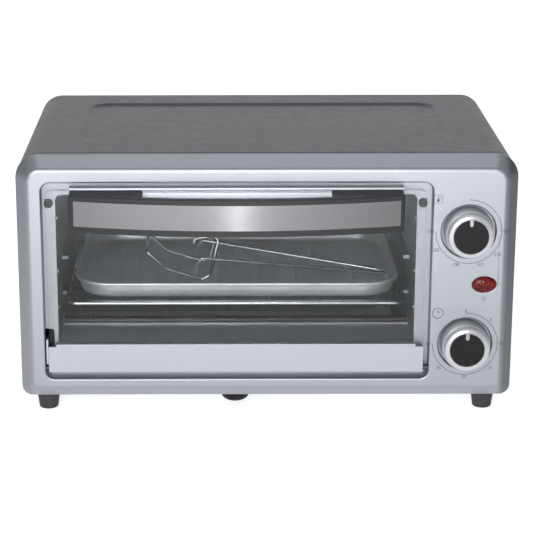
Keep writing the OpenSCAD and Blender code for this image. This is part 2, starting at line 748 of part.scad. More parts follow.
module knob_face(z) difference() {
    spin_forward(knob_x, z) polygon([[0, knob_reach - 2], [12.8, knob_reach - 2], [12.8, knob_reach - 0.8],
        [0, knob_reach - 0.2]]);
    knob_pointer(z);
}

module knob_pointer(z)
    block([knob_x - 1.5, -knob_reach, z + 8.4], [knob_x + 1.5, 2 - knob_reach, z + 12.4]);

module knob_shaft(z) bar_y(knob_x, z, shaft_r, 3 - knob_reach, well_floor + 11);

module temperature_knob() color(silver) place() knob_body(temperature_z);

module temperature_knob_face() color(black) place() knob_face(temperature_z);

module temperature_pointer() color(silver) place() knob_pointer(temperature_z);

module temperature_shaft() color(bright) place() knob_shaft(temperature_z);

module timer_knob() color(silver) place() knob_body(timer_z);

module timer_knob_face() color(black) place() knob_face(timer_z);

module timer_pointer() color(silver) place() knob_pointer(timer_z);

module timer_shaft() color(bright) place() knob_shaft(timer_z);

module crumb_tray() color(inner_grey) place() difference() {
    union() {
        block([crumb_x0, crumb_y0, crumb_z], [crumb_x1, crumb_hinge_y, crumb_z + sheet]);
        block([crumb_pan[0], crumb_pan[2], crumb_z], [crumb_pan[1], crumb_pan[3], base_top + 5]);
        bar_x(crumb_hinge_y, crumb_hinge_z, crumb_knuckle_r, crumb_x0 + 0.6, crumb_x1 + 0.4);
    }
    block([crumb_pan[0] + sheet, crumb_pan[2] + sheet, crumb_z + sheet],
        [crumb_pan[1] - sheet, crumb_pan[3] - sheet, base_top + 6]);
    bar_x(crumb_hinge_y, crumb_hinge_z, crumb_rod_r + running, crumb_x0 - 1, crumb_x1 + 1);
    translate([crumb_knob_x, crumb_knob_y, crumb_z - 1]) cylinder(r = screw_r, h = 3);
}

module crumb_tray_knob() color(black) place() translate([crumb_knob_x, crumb_knob_y, 0]) difference() {
    rotate_extrude() polygon(concat([[0, crumb_z], [crumb_knob_r, crumb_z]],
        [for (a = [0 : 10 : 90]) [crumb_knob_r * cos(a), crumb_z - 3 - crumb_knob_dome * sin(a)]]));
    translate([0, 0, crumb_z - 6]) cylinder(r = screw_r, h = 7);
}

module crumb_knob_screw() color(bright) place() translate([crumb_knob_x, crumb_knob_y, crumb_z + 2.4])
    mirror([0, 0, 1]) screw(screw_r, 8.4, 2.9, 1.4);

front_panel();
oven_front_frame();
outer_cover();
base_plate();
back_panel();
cavity_left_wall();
cavity_right_wall();
cavity_ceiling();
cavity_back_wall();
sill_plate();
upper_heaters();
lower_heaters();
heater_insulators();
thermostat();
timer();
timer_bell();
control_screws();
indicator_lens();
indicator_lamp();
terminal_block();
internal_wires();
cord_gland();
front_feet();
rear_feet();
foot_screws();
base_screws();
back_screws();
door_bumpers();
frame_rivets();
hinge_brackets();
door_spring();
crumb_hinge_rod();
crumb_hinge_brackets();
door_glass();
door_bottom_rail();
door_top_trim();
handle_grip();
handle_plate();
handle_screws();
hinge_pins();
door_arm();
wire_rack();
baking_tray();
tray_lifter();
temperature_knob();
temperature_knob_face();
temperature_pointer();
temperature_shaft();
timer_knob();
timer_knob_face();
timer_pointer();
timer_shaft();
crumb_tray();
crumb_tray_knob();
crumb_knob_screw();
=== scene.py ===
"""Looks of a small toaster oven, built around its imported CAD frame.

Sizes are millimetres in the bezel's own frame: x across, y = 0 on the bezel's flat face and +y into the
oven, z up from the table. put() turns them into metres in the row frame.
"""
import json
import math

import bmesh
import bpy
from mathutils import Matrix, Vector
from mathutils.geometry import tessellate_polygon


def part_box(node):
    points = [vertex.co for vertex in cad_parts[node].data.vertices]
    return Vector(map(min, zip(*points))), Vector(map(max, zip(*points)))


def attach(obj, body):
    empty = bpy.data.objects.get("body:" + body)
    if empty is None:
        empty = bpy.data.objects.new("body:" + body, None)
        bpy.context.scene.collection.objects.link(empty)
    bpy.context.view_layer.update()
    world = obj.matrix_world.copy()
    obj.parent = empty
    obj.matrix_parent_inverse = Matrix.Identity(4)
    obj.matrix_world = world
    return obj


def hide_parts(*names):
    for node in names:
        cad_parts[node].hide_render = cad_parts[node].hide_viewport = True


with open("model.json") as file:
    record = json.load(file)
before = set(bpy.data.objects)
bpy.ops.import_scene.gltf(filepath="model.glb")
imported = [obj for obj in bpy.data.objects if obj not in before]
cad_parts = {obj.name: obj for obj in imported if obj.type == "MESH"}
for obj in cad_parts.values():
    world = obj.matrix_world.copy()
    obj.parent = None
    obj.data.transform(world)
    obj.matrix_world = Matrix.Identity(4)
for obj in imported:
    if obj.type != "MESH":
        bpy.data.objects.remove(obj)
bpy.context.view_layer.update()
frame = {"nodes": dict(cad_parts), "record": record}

MM = 0.001
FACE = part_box("front_panel")[0].y


def put(x, y, z):
    """A point of the bezel's frame, in metres in the row frame."""
    return Vector((x * MM, y * MM + FACE, z * MM))


class Span:
    """The box of a CAD node, in the bezel's frame."""

    def __init__(self, node):
        low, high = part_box(node)
        self.x0, self.x1 = low.x / MM, high.x / MM
        self.y0, self.y1 = (low.y - FACE) / MM, (high.y - FACE) / MM
        self.z0, self.z1 = low.z / MM, high.z / MM
        self.mid_x = (self.x0 + self.x1) / 2
        self.mid_y = (self.y0 + self.y1) / 2
        self.mid_z = (self.z0 + self.z1) / 2
        self.wide = self.x1 - self.x0
        self.high = self.z1 - self.z0


PANEL = Span("front_panel")
GLASS = Span("door_glass")
RAIL = Span("door_bottom_rail")
TRIM = Span("door_top_trim")
GRIP = Span("handle_grip")
PLATE = Span("handle_plate")
RACK = Span("wire_rack")
TRAY = Span("baking_tray")
COVER = Span("outer_cover")
LENS_BOX = Span("indicator_lens")
SHEET = Span("oven_front_frame")
LIFTER = Span("tray_lifter")
KNOBS = {"temperature": Span("temperature_knob"), "timer": Span("timer_knob")}
COVER_START = PANEL.y1 + 1.4


# ---------------------------------------------------------------- camera

# Places in millimetres, the pitch in degrees and the roll in radians.
CAMERA_X, CAMERA_Y, CAMERA_Z = -31.6, -1335.75, 515.84
CAMERA_PITCH = 16.872
CAMERA_ROLL = 0.002
LENS = 129.07
SHIFT_X, SHIFT_Y = 0.0807, 0.0188


def make_camera():
    data = bpy.data.cameras.new("camera")
    data.lens = LENS
    data.sensor_width = 36.0
    data.shift_x, data.shift_y = SHIFT_X, SHIFT_Y
    camera = bpy.data.objects.new("camera", data)
    bpy.context.scene.collection.objects.link(camera)
    camera.location = put(CAMERA_X, CAMERA_Y, CAMERA_Z)
    tilt = Matrix.Rotation(math.radians(90 - CAMERA_PITCH), 3, "X")
    camera.rotation_euler = (tilt @ Matrix.Rotation(-CAMERA_ROLL, 3, "Z")).to_euler()
    bpy.context.scene.camera = camera


# ---------------------------------------------------------------- outlines and profiles


def arc(cx, cy, r, start, end, steps):
    """Points on an arc, angles in degrees."""
    turn = [math.radians(start + (end - start) * i / steps) for i in range(steps + 1)]
    return [(cx + r * math.cos(a), cy + r * math.sin(a)) for a in turn]


def fillet_corner(before, corner, after, r, steps):
    """The points that round one corner of a flat line."""
    a, b, c = Vector(before), Vector(corner), Vector(after)
    u, v = (a - b).normalized(), (c - b).normalized()
    angle = u.angle(v)
    if r < 1e-4 or angle > math.pi - 1e-3:
        return [tuple(b)] if steps == 0 or r < 1e-4 else [tuple(b)] * (steps + 1)
    reach = min(r / math.tan(angle / 2), 0.499 * (a - b).length, 0.499 * (c - b).length)
    r = reach * math.tan(angle / 2)
    centre = b + (u + v).normalized() * (r / math.sin(angle / 2))
    p, q = b + u * reach - centre, b + v * reach - centre
    sweep = p.angle_signed(q)
    points = []
    for i in range(steps + 1):
        t = -sweep * i / steps
        points.append((centre.x + p.x * math.cos(t) - p.y * math.sin(t),
                       centre.y + p.x * math.sin(t) + p.y * math.cos(t)))
    return points


def profile(corners, steps=5):
    """An open line of (a, b) or (a, b, radius) corners, with the corners rounded."""
    flat = [c[:2] for c in corners]
    points = [flat[0]]
    for i in range(1, len(corners) - 1):
        r = corners[i][2] if len(corners[i]) > 2 else 0
        points += fillet_corner(flat[i - 1], flat[i], flat[i + 1], r, steps) if r else [flat[i]]
    return points + [flat[-1]]


def outline(corners, grow=0.0, steps=6):
    """A closed anticlockwise outline of (x, z, radius) corners, grown by an even margin."""
    n = len(corners)
    flat = [Vector(c[:2]) for c in corners]
    moved, turns = [], []
    for i in range(n):
        a, b, c = flat[i - 1], flat[i], flat[(i + 1) % n]
        u, v = (b - a).normalized(), (c - b).normalized()
        n1, n2 = Vector((u.y, -u.x)), Vector((v.y, -v.x))
        moved.append(b + (n1 + n2) * (grow / max(1 + n1.dot(n2), 0.2)))
        turns.append(u.x * v.y - u.y * v.x)
    points = []
    for i in range(n):
        r = corners[i][2]
        if r:
            r = max(r + grow if turns[i] > 0 else r - grow, 0.02)
            points += fillet_corner(moved[i - 1], moved[i], moved[(i + 1) % n], r, steps)
        else:
            points.append(tuple(moved[i]))
    return points


def box_corners(x0, z0, x1, z1, upper, lower):
    """An upright rectangle's corners, with one radius for the upper pair and one for the lower."""
    return [(x0, z0, lower), (x1, z0, lower), (x1, z1, upper), (x0, z1, upper)]


def oval(cx, cz, a, b, steps=48):
    turn = [2 * math.pi * i / steps for i in range(steps)]
    return [(cx + a * math.cos(t), cz + b * math.sin(t)) for t in turn]


# ---------------------------------------------------------------- meshes


class Shape:
    """Collects points and faces, then becomes one object."""

    def __init__(self):
        self.points, self.faces = [], []

    def loop(self, points):
        """Adds a ring of points and returns their numbers."""
        first = len(self.points)
        self.points += [Vector(p) for p in points]
        return list(range(first, len(self.points)))

    def bridge(self, a, b, closed=True):
        n = len(a)
        for i in range(n if closed else n - 1):
            j = (i + 1) % n
            self.faces.append((a[i], a[j], b[j], b[i]))

    def skin(self, rings, closed=True):
        rings = [self.loop(r) for r in rings]
        for a, b in zip(rings, rings[1:]):
            self.bridge(a, b, closed)
        return rings

    def cap(self, ring, holes=(), flip=False):
        """Fills a flat ring, leaving its holes open."""
        groups = [ring, *holes]
        flat = [n for g in groups for n in g]
        for tri in tessellate_polygon([[self.points[n] for n in g] for g in groups]):
            face = tuple(flat[i] for i in tri)
            self.faces.append(face[::-1] if flip else face)

    def fan(self, ring, centre, flip=False):
        c = self.loop([centre])[0]
        for i, a in enumerate(ring):
            b = ring[(i + 1) % len(ring)]
            self.faces.append((b, a, c) if flip else (a, b, c))

    def make(self, name, body, material, replaces=(), sharp=35.0, weld=1e-6):
        mesh = bpy.data.meshes.new(name)
        mesh.from_pydata([put(*p) for p in self.points], [], self.faces)
        form = bmesh.new()
        form.from_mesh(mesh)
        bmesh.ops.remove_doubles(form, verts=form.verts, dist=weld)
        bmesh.ops.recalc_face_normals(form, faces=form.faces)
        form.to_mesh(mesh)
        form.free()
        piece = bpy.data.objects.new(name, mesh)
        bpy.context.scene.collection.objects.link(piece)
        return dress(piece, body, material, replaces, sharp)


def dress(piece, body, material, replaces=(), sharp=35.0):
    """Smooths a piece, gives it its material and ties it to its body and its CAD nodes."""
    mesh = piece.data
    mesh.polygons.foreach_set("use_smooth", [True] * len(mesh.polygons))
    mesh.set_sharp_from_angle(angle=math.radians(sharp))
    mesh.materials.clear()
    mesh.materials.append(material)
    weigh = piece.modifiers.new("weigh_normals", "WEIGHTED_NORMAL")
    weigh.keep_sharp = True
    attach(piece, body)
    if replaces:
        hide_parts(*replaces)
    return piece


def slab(shape, corners, path, place):
    """A closed plate. path is a line of (grow, depth) pairs, and place turns (u, v, depth) into a point."""
    rings = [shape.loop([place(u, v, d) for u, v in outline(corners, g)]) for g, d in path]
    for a, b in zip(rings, rings[1:]):
        shape.bridge(a, b)
    shape.cap(rings[0])
    shape.cap(rings[-1], flip=True)


def facing(u, v, d):
    """Flat outlines seen from the front."""
    return (u, d, v)


def lying(u, v, d):
    """Flat outlines seen from above."""
    return (u, v, d)


def soft_edge(front, back, r, steps=4):
    """The (grow, depth) path of a plate with rounded edges."""
    return profile([(-r, front), (0, front, r), (0, back, r), (-r, back)], steps)


def lathe(shape, path, cx, cz, steps=96):
    """Turns (radius, forward reach) pairs about an axis along y."""
    rings = []
    for r, reach in path:
        ring = [(cx + r * math.cos(t), -reach, cz + r * math.sin(t))
                for t in (2 * math.pi * i / steps for i in range(steps))]
        rings.append(shape.loop(ring))
    for a, b in zip(rings, rings[1:]):
        shape.bridge(a, b)
    return rings


def turn_up(shape, path, cx, cy, steps=64):
    """Turns (radius, height) pairs about a vertical axis."""
    rings = []
    for r, h in path:
        rings.append(shape.loop([(cx + r * math.cos(t), cy + r * math.sin(t), h)
                                 for t in (2 * math.pi * i / steps for i in range(steps))]))
    for a, b in zip(rings, rings[1:]):
        shape.bridge(a, b)
    return rings


def bend(points, r, steps=6):
    """A wire's route with its corners bent to a radius."""
    points = [Vector(p) for p in points]
    route = [points[0]]
    for a, b, c in zip(points, points[1:], points[2:]):
        u, v = (a - b).normalized(), (c - b).normalized()
        angle = u.angle(v)
        if angle > math.pi - 0.02:
            route.append(b)
            continue
        reach = min(r / math.tan(angle / 2), 0.48 * (a - b).length, 0.48 * (c - b).length)
        true_r = reach * math.tan(angle / 2)
        centre = b + (u + v).normalized() * (true_r / math.sin(angle / 2))
        p, q = b + u * reach - centre, b + v * reach - centre
        axis, sweep = p.cross(q).normalized(), p.angle(q)
        for i in range(steps + 1):
            route.append(centre + Matrix.Rotation(sweep * i / steps, 3, axis) @ p)
    return route + [points[-1]]


def tube(shape, route, r, sides=14, closed=False):
    """A round wire along a route, with rounded ends unless it closes on itself."""
    route = [Vector(p) for p in route]
    n = len(route)
    rings, side = [], None
    for i, here in enumerate(route):
        if closed:
            along = (route[(i + 1) % n] - route[i - 1]).normalized()
        else:
            along = (route[min(i + 1, n - 1)] - route[max(i - 1, 0)]).normalized()
        if side is None:
            side = along.orthogonal().normalized()
        side = (side - along * side.dot(along)).normalized()
        other = along.cross(side)
        rings.append((here, along, side, other))

    def ring(here, side, other, radius):
        return shape.loop([here + (side * math.cos(t) + other * math.sin(t)) * radius
                           for t in (2 * math.pi * k / sides for k in range(sides))])

    if closed:
        made = [ring(h, s, o, r) for h, _, s, o in rings]
        for a, b in zip(made, made[1:] + made[:1]):
            shape.bridge(a, b)
        return
    start, end = rings[0], rings[-1]
    made = [ring(start[0] - start[1] * r * 0.45, start[2], start[3], r * 0.7)]
    made += [ring(h, s, o, r) for h, _, s, o in rings]
    made.append(ring(end[0] + end[1] * r * 0.45, end[2], end[3], r * 0.7))
    for a, b in zip(made, made[1:]):
        shape.bridge(a, b)
    shape.fan(made[0], start[0] - start[1] * r * 0.6, flip=True)
    shape.fan(made[-1], end[0] + end[1] * r * 0.6)


# ---------------------------------------------------------------- materials


class Paint:
    """Builds one node material."""

    def __init__(self, name, **values):
        self.material = bpy.data.materials.new(name)
        self.material.use_nodes = True
        self.nodes = self.material.node_tree.nodes
        self.links = self.material.node_tree.links
        self.bsdf = self.nodes["Principled BSDF"]
        self.coords = self.nodes.new("ShaderNodeTexCoord").outputs["Object"]
        for key, value in values.items():
            self.bsdf.inputs[key.replace("_", " ")].default_value = value

    def stretch(self, x, y, z):
        mapping = self.nodes.new("ShaderNodeMapping")
        mapping.inputs["Scale"].default_value = (x, y, z)
        self.links.new(self.coords, mapping.inputs["Vector"])
        return mapping.outputs["Vector"]

    def noise(self, scale, detail=3.0, roughness=0.55, vector=None):
        node = self.nodes.new("ShaderNodeTexNoise")
        node.inputs["Scale"].default_value = scale
        node.inputs["Detail"].default_value = detail
        node.inputs["Roughness"].default_value = roughness
        self.links.new(vector or self.coords, node.inputs["Vector"])
        return node.outputs["Fac"]

    def spread(self, value, low, high, src_low=0.3, src_high=0.7):
        node = self.nodes.new("ShaderNodeMapRange")
        node.inputs["From Min"].default_value = src_low
        node.inputs["From Max"].default_value = src_high
        node.inputs["To Min"].default_value = low
        node.inputs["To Max"].default_value = high
        self.links.new(value, node.inputs["Value"])
        return node.outputs["Result"]

    def along(self, axis, start, end):
        """0 before start and 1 after end, in the bezel's frame, along one axis."""
        split = self.nodes.new("ShaderNodeSeparateXYZ")
        self.links.new(self.coords, split.inputs["Vector"])
        shift = FACE if axis == "Y" else 0
        return self.spread(split.outputs[axis], 0, 1, start * MM + shift, end * MM + shift)

    def math(self, operation, first, second=0.0):
        node = self.nodes.new("ShaderNodeMath")
        node.operation = operation
        for socket, value in zip(node.inputs, (first, second)):
            if isinstance(value, float):
                socket.default_value = value
            else:
                self.links.new(value, socket)
        return node.outputs[0]

    def blend(self, share, first, second):
        """A colour between a plain one and another socket."""
        node = self.nodes.new("ShaderNodeMix")
        node.data_type = "RGBA"
        node.inputs[6].default_value = (*first, 1)
        self.links.new(share, node.inputs[0])
        self.links.new(second, node.inputs[7])
        return node.outputs[2]

    def ramp(self, value, stops):
        node = self.nodes.new("ShaderNodeValToRGB")
        ramp = node.color_ramp
        while len(ramp.elements) < len(stops):
            ramp.elements.new(0.5)
        for element, (where, colour) in zip(ramp.elements, stops):
            element.position = where
            element.color = (*colour, 1)
        self.links.new(value, node.inputs["Fac"])
        return node.outputs["Color"]

    def base(self, value, dark, light, src_low=0.3, src_high=0.7):
        self.links.new(self.ramp(value, [(src_low, dark), (src_high, light)]), self.bsdf.inputs["Base Color"])

    def rough(self, value, low, high):
        self.links.new(self.spread(value, low, high), self.bsdf.inputs["Roughness"])

    def bump(self, value, strength, distance):
        node = self.nodes.new("ShaderNodeBump")
        node.inputs["Strength"].default_value = strength
        node.inputs["Distance"].default_value = distance
        self.links.new(value, node.inputs["Height"])
        previous = self.bsdf.inputs["Normal"].links
        if previous:
            self.links.new(previous[0].from_socket, node.inputs["Normal"])
        self.links.new(node.outputs["Normal"], self.bsdf.inputs["Normal"])


def silver_paint(name, level, metallic=0.85, roughness=0.40, fleck=0.05, painted_shade_borders=()):
    """Satin silver paint with fine metal flakes.

    Painted shade borders are (start, end, share) along x: each darkens the paint to that share of its level,
    as painted shade.
    """
    p = Paint(name, Metallic=metallic, Roughness=roughness)
    flake = p.noise(3600, 2)
    colour = p.ramp(flake, [(0.3, tuple(c * (1 - fleck) for c in level)),
                            (0.7, tuple(c * (1 + fleck) for c in level))])
    for start, end, share in painted_shade_borders:
        # Painted shade: fades the paint down to its shaded share across each border.
        unshaded = p.spread(p.along("X", start, end), 1, 0, 0, 1)
        colour = p.blend(unshaded, tuple(c * share for c in level), colour)
    p.links.new(colour, p.bsdf.inputs["Base Color"])
    p.rough(p.noise(90, 3), roughness - 0.2 * fleck, roughness + 0.2 * fleck)
    p.bump(flake, fleck, 0.00005)
    return p.material


def cover_paint():
    """Dark grey powder paint, with painted black shade inside the gap behind the bezel."""
    p = Paint("cover_paint", Roughness=0.45)
    grain = p.noise(2600, 3)
    paint = p.ramp(grain, [(0.3, (0.056, 0.057, 0.067)), (0.7, (0.064, 0.065, 0.076))])
    # Painted shade: near-black, with little shine, in a band along the cover's front edge where the gap
    # behind the bezel lies.
    gap = p.along("Y", COVER_START + 2.8, COVER_START + 4.2)
    p.links.new(p.blend(gap, (0.004, 0.004, 0.005), paint), p.bsdf.inputs["Base Color"])
    p.links.new(p.spread(gap, 0.05, 0.5, 0, 1), p.bsdf.inputs["Specular IOR Level"])
    p.rough(p.noise(90, 4), 0.42, 0.48)
    p.bump(grain, 0.06, 0.00006)
    return p.material


def oven_steel():
    """Plain aluminised sheet: faint rolled streaks and a dull haze."""
    p = Paint("oven_steel", Metallic=0.85, Roughness=0.42)
    streak = p.noise(40, 3, 0.5, p.stretch(6, 6, 1))
    p.base(streak, (0.31, 0.331, 0.357), (0.39, 0.416, 0.447))
    p.rough(p.noise(45, 4, 0.6), 0.39, 0.46)
    return p.material


def chrome(name, colour=(0.55, 0.56, 0.58), roughness=0.17):
    """Bright plating with faint haze."""
    p = Paint(name, Metallic=1.0, Roughness=roughness)
    haze = p.noise(120, 4)
    p.base(haze, tuple(c * 0.9 for c in colour), colour)
    p.rough(haze, roughness * 0.6, roughness * 1.7)
    p.bump(p.noise(1400, 2), 0.03, 0.00004)
    return p.material


def brushed(name, colour, roughness=0.30, strength=0.1):
    """Steel brushed along x, which spreads its highlights across the brushing."""
    p = Paint(name, Metallic=1.0, Roughness=roughness)
    p.bsdf.inputs["Anisotropic"].default_value = 0.85
    p.bsdf.inputs["Anisotropic Rotation"].default_value = 0.25
    lines = p.noise(120, 5, 0.65, p.stretch(1, 60, 60))
    p.base(lines, tuple(c * 0.82 for c in colour), tuple(c * 1.06 for c in colour))
    p.rough(lines, roughness - 0.04, roughness + 0.05)
    p.bump(lines, strength, 0.00003)
    return p.material


def tray_steel():
    """Drawn steel tray with a dull, even finish and faint draw lines."""
    p = Paint("tray_steel", Metallic=0.6, Roughness=0.3)
    wear = p.noise(35, 4, 0.5)
    p.base(wear, (0.56, 0.57, 0.59), (0.66, 0.67, 0.69))
    p.rough(p.noise(14, 3, 0.5), 0.30, 0.35)
    return p.material


def black_plastic(name="black_plastic", level=0.020, roughness=0.38, grain=0.08, gloss=0.28):
    """Moulded black plastic with a fine spark grain."""
    p = Paint(name, Roughness=roughness)
    p.bsdf.inputs["Specular IOR Level"].default_value = gloss
    sparks = p.noise(2400, 3, 0.6)
    p.base(sparks, (level * 0.8, level * 0.8, level * 0.86), (level * 1.2, level * 1.2, level * 1.28))
    p.rough(p.noise(200, 3), roughness - 0.05, roughness + 0.07)
    p.bump(sparks, grain, 0.00006)
    return p.material


def rubber():
    p = Paint("black_rubber", Roughness=0.62)
    grain = p.noise(1500, 4, 0.6)
    p.base(grain, (0.013, 0.013, 0.0145), (0.026, 0.026, 0.029))
    p.rough(grain, 0.52, 0.72)
    p.bump(grain, 0.2, 0.00008)
    return p.material


# Below real glass's 1.5, so that the lights' reflection doesn't hide the inside of the oven.
DOOR_GLASS_IOR = 1.26


def clear_glass():
    """Thin glass with a faint green body and finger haze."""
    p = Paint("door_glass", Roughness=0.0)
    p.bsdf.inputs["Transmission Weight"].default_value = 1.0
    p.bsdf.inputs["IOR"].default_value = DOOR_GLASS_IOR
    haze = p.noise(18, 4, 0.6)
    p.base(haze, (0.955, 0.972, 0.970), (0.97, 0.985, 0.982))
    p.rough(haze, 0.0, 0.012)
    return p.material


def red_lens():
    """Clear red lens over a prism pattern."""
    p = Paint("lens_red", Roughness=0.06)
    p.bsdf.inputs["Specular IOR Level"].default_value = 0.18
    p.bsdf.inputs["Coat Weight"].default_value = 0.10
    p.bsdf.inputs["Coat Roughness"].default_value = 0.03
    cell = p.nodes.new("ShaderNodeTexVoronoi")
    cell.inputs["Scale"].default_value = 620
    p.links.new(p.coords, cell.inputs["Vector"])
    p.base(cell.outputs["Distance"], (0.26, 0.009, 0.005), (0.05, 0.003, 0.003), 0.1, 0.6)
    p.rough(cell.outputs["Distance"], 0.05, 0.16)
    p.bump(cell.outputs["Distance"], 0.5, 0.0006)
    return p.material


def ceramic():
    p = Paint("ceramic", Roughness=0.28)
    mottle = p.noise(240, 4)
    p.base(mottle, (0.70, 0.67, 0.60), (0.84, 0.81, 0.75))
    p.rough(mottle, 0.2, 0.4)
    return p.material


def heater_sheath():
    """Sheathed element, browned by heat along its length."""
    p = Paint("heater_sheath", Metallic=0.85, Roughness=0.4)
    heat = p.noise(22, 5, 0.6, p.stretch(1, 2, 2))
    p.base(heat, (0.05, 0.046, 0.042), (0.10, 0.095, 0.09))
    p.rough(heat, 0.42, 0.58)
    p.bump(p.noise(900, 3), 0.08, 0.0001)
    return p.material


def plain_plastic(name, dark, light, roughness=0.45):
    p = Paint(name, Roughness=roughness)
    grain = p.noise(1200, 3)
    p.base(grain, dark, light)
    p.rough(p.noise(150, 3), roughness - 0.06, roughness + 0.08)
    p.bump(grain, 0.08, 0.00006)
    return p.material


def print_ink():
    """Slate blue screen print."""
    p = Paint("dial_print", Roughness=0.45)
    speck = p.noise(3200, 2)
    p.base(speck, (0.035, 0.055, 0.080), (0.06, 0.085, 0.115))
    p.rough(speck, 0.38, 0.52)
    return p.material


# How strongly the paper glows by itself, a painted pool of light, along the middle, at the sides and in
# front; the pool's shift and spread.
FLOOR_GLOW, SIDE_GLOW, FRONT_GLOW = 0.64, 0.30, 1.8
POOL_SHIFT, POOL_WIDENING = 0.09, 0.22


def floor_paper():
    """Pale paper that glows by itself: a painted pool of light along the middle, dimmer out to the sides and
    brighter in front.
    """
    p = Paint("studio_paper", Roughness=0.9)
    fibre = p.noise(6, 4)
    p.base(fibre, (0.86, 0.86, 0.865), (0.885, 0.885, 0.89))
    p.rough(fibre, 0.85, 0.95)
    split = p.nodes.new("ShaderNodeSeparateXYZ")
    p.links.new(p.coords, split.inputs["Vector"])
    widening = p.math("MULTIPLY", p.math("MAXIMUM", split.outputs["Y"], 0.0), POOL_WIDENING)
    aside = p.math("ABSOLUTE", p.math("ADD", split.outputs["X"], POOL_SHIFT))
    off_axis = p.math("SUBTRACT", aside, widening)
    near = p.spread(off_axis, FLOOR_GLOW, SIDE_GLOW, 0.26, 0.85)
    ahead = p.math("MULTIPLY", p.spread(split.outputs["Y"], FRONT_GLOW, 0.0, -1.2, -0.45),
                   p.spread(off_axis, 1.0, 0.0, 0.3, 0.9))
    glow = p.math("ADD", near, ahead)
    p.bsdf.inputs["Emission Color"].default_value = (1, 1, 1, 1)
    p.links.new(glow, p.bsdf.inputs["Emission Strength"])
    return p.material


MATERIALS = {
    # The bezel paint is darkened to 0.42 along its right border and to 0.80 along its left: painted shade.
    "bezel_paint": silver_paint("bezel_paint", (0.310, 0.322, 0.350), painted_shade_borders=(
        (PANEL.x1 - 11, PANEL.x1 - 6, 0.42), (PANEL.x0 + 11, PANEL.x0 + 6, 0.80))),
    "rail_paint": silver_paint("rail_paint", (0.372, 0.386, 0.420), 0.45, 0.36, 0.03),
    "knob_silver": silver_paint("knob_silver", (0.47, 0.476, 0.497), 0.55, 0.33, 0.01),
    "cover_paint": cover_paint(),
    "oven_steel": oven_steel(),
    "chrome_wire": chrome("chrome_wire"),
    "heater_sheath": heater_sheath(),
    "ceramic": ceramic(),
    "zinc_screw": chrome("zinc_screw", (0.62, 0.62, 0.62), 0.26),
    "control_case": plain_plastic("control_case", (0.60, 0.57, 0.50), (0.72, 0.69, 0.62)),
    "clockwork_case": brushed("clockwork_case", (0.56, 0.56, 0.56)),
    "lens_red": red_lens(),
    "lamp_glass": plain_plastic("lamp_glass", (0.80, 0.52, 0.38), (0.90, 0.66, 0.52), 0.15),
    "wire_insulation": plain_plastic("wire_insulation", (0.38, 0.03, 0.02), (0.50, 0.06, 0.04), 0.4),
    "black_plastic": black_plastic(),
    "black_rubber": rubber(),
    "door_glass": clear_glass(),
    "brushed_plate": brushed("brushed_plate", (0.185, 0.184, 0.192), 0.21),
    "tray_steel": tray_steel(),
    "knob_face_black": black_plastic("knob_face_black", 0.010, 0.40, 0.04, 0.14),
}
PRINT = print_ink()


# Small hardware that looks unlike the rest of its slot.
OWN_PAINT = {"hinge_pins": "heater_sheath", "door_arm": "oven_steel", "door_spring": "oven_steel",
             "sill_plate": "rail_paint"}


def dress_frame():
    """Gives every CAD node that is still shown the material of its slot."""
    slots = {s["node"]: s["material_slot"] for s in frame["record"]["subparts"]}
    for node, piece in frame["nodes"].items():
        piece.data.materials.clear()
        piece.data.materials.append(MATERIALS[OWN_PAINT.get(node, slots[node])])


# ---------------------------------------------------------------- housing

HINGE_RECESS = (-163.5, 31.6, 120.0, 180.8)
RECESS_R = 6.5
RECESS_FILLET = 2.4
# The recess walls' paint, about half the bezel's level: painted shade.
RECESS_PAINTED_SHADE = (0.17, 0.176, 0.188)
SLOPE_W, SLOPE_D = 9.2, 11.0
WELL_R, WELL_DEPTH, WELL_FILLET = 19.7, 5.0, 1.9


def bezel_outline(inset):
    """The bezel's outline, whose corners tighten as it moves in over the slope."""
    share = inset / SLOPE_W
    upper = 17.5 - 8.5 * share
    lower = 8.0 - 4.0 * share
    corners = box_corners(PANEL.x0 + inset, PANEL.z0 + inset, PANEL.x1 - inset, PANEL.z1 - inset,
                          upper, lower)
    return outline(corners, 0, 12)


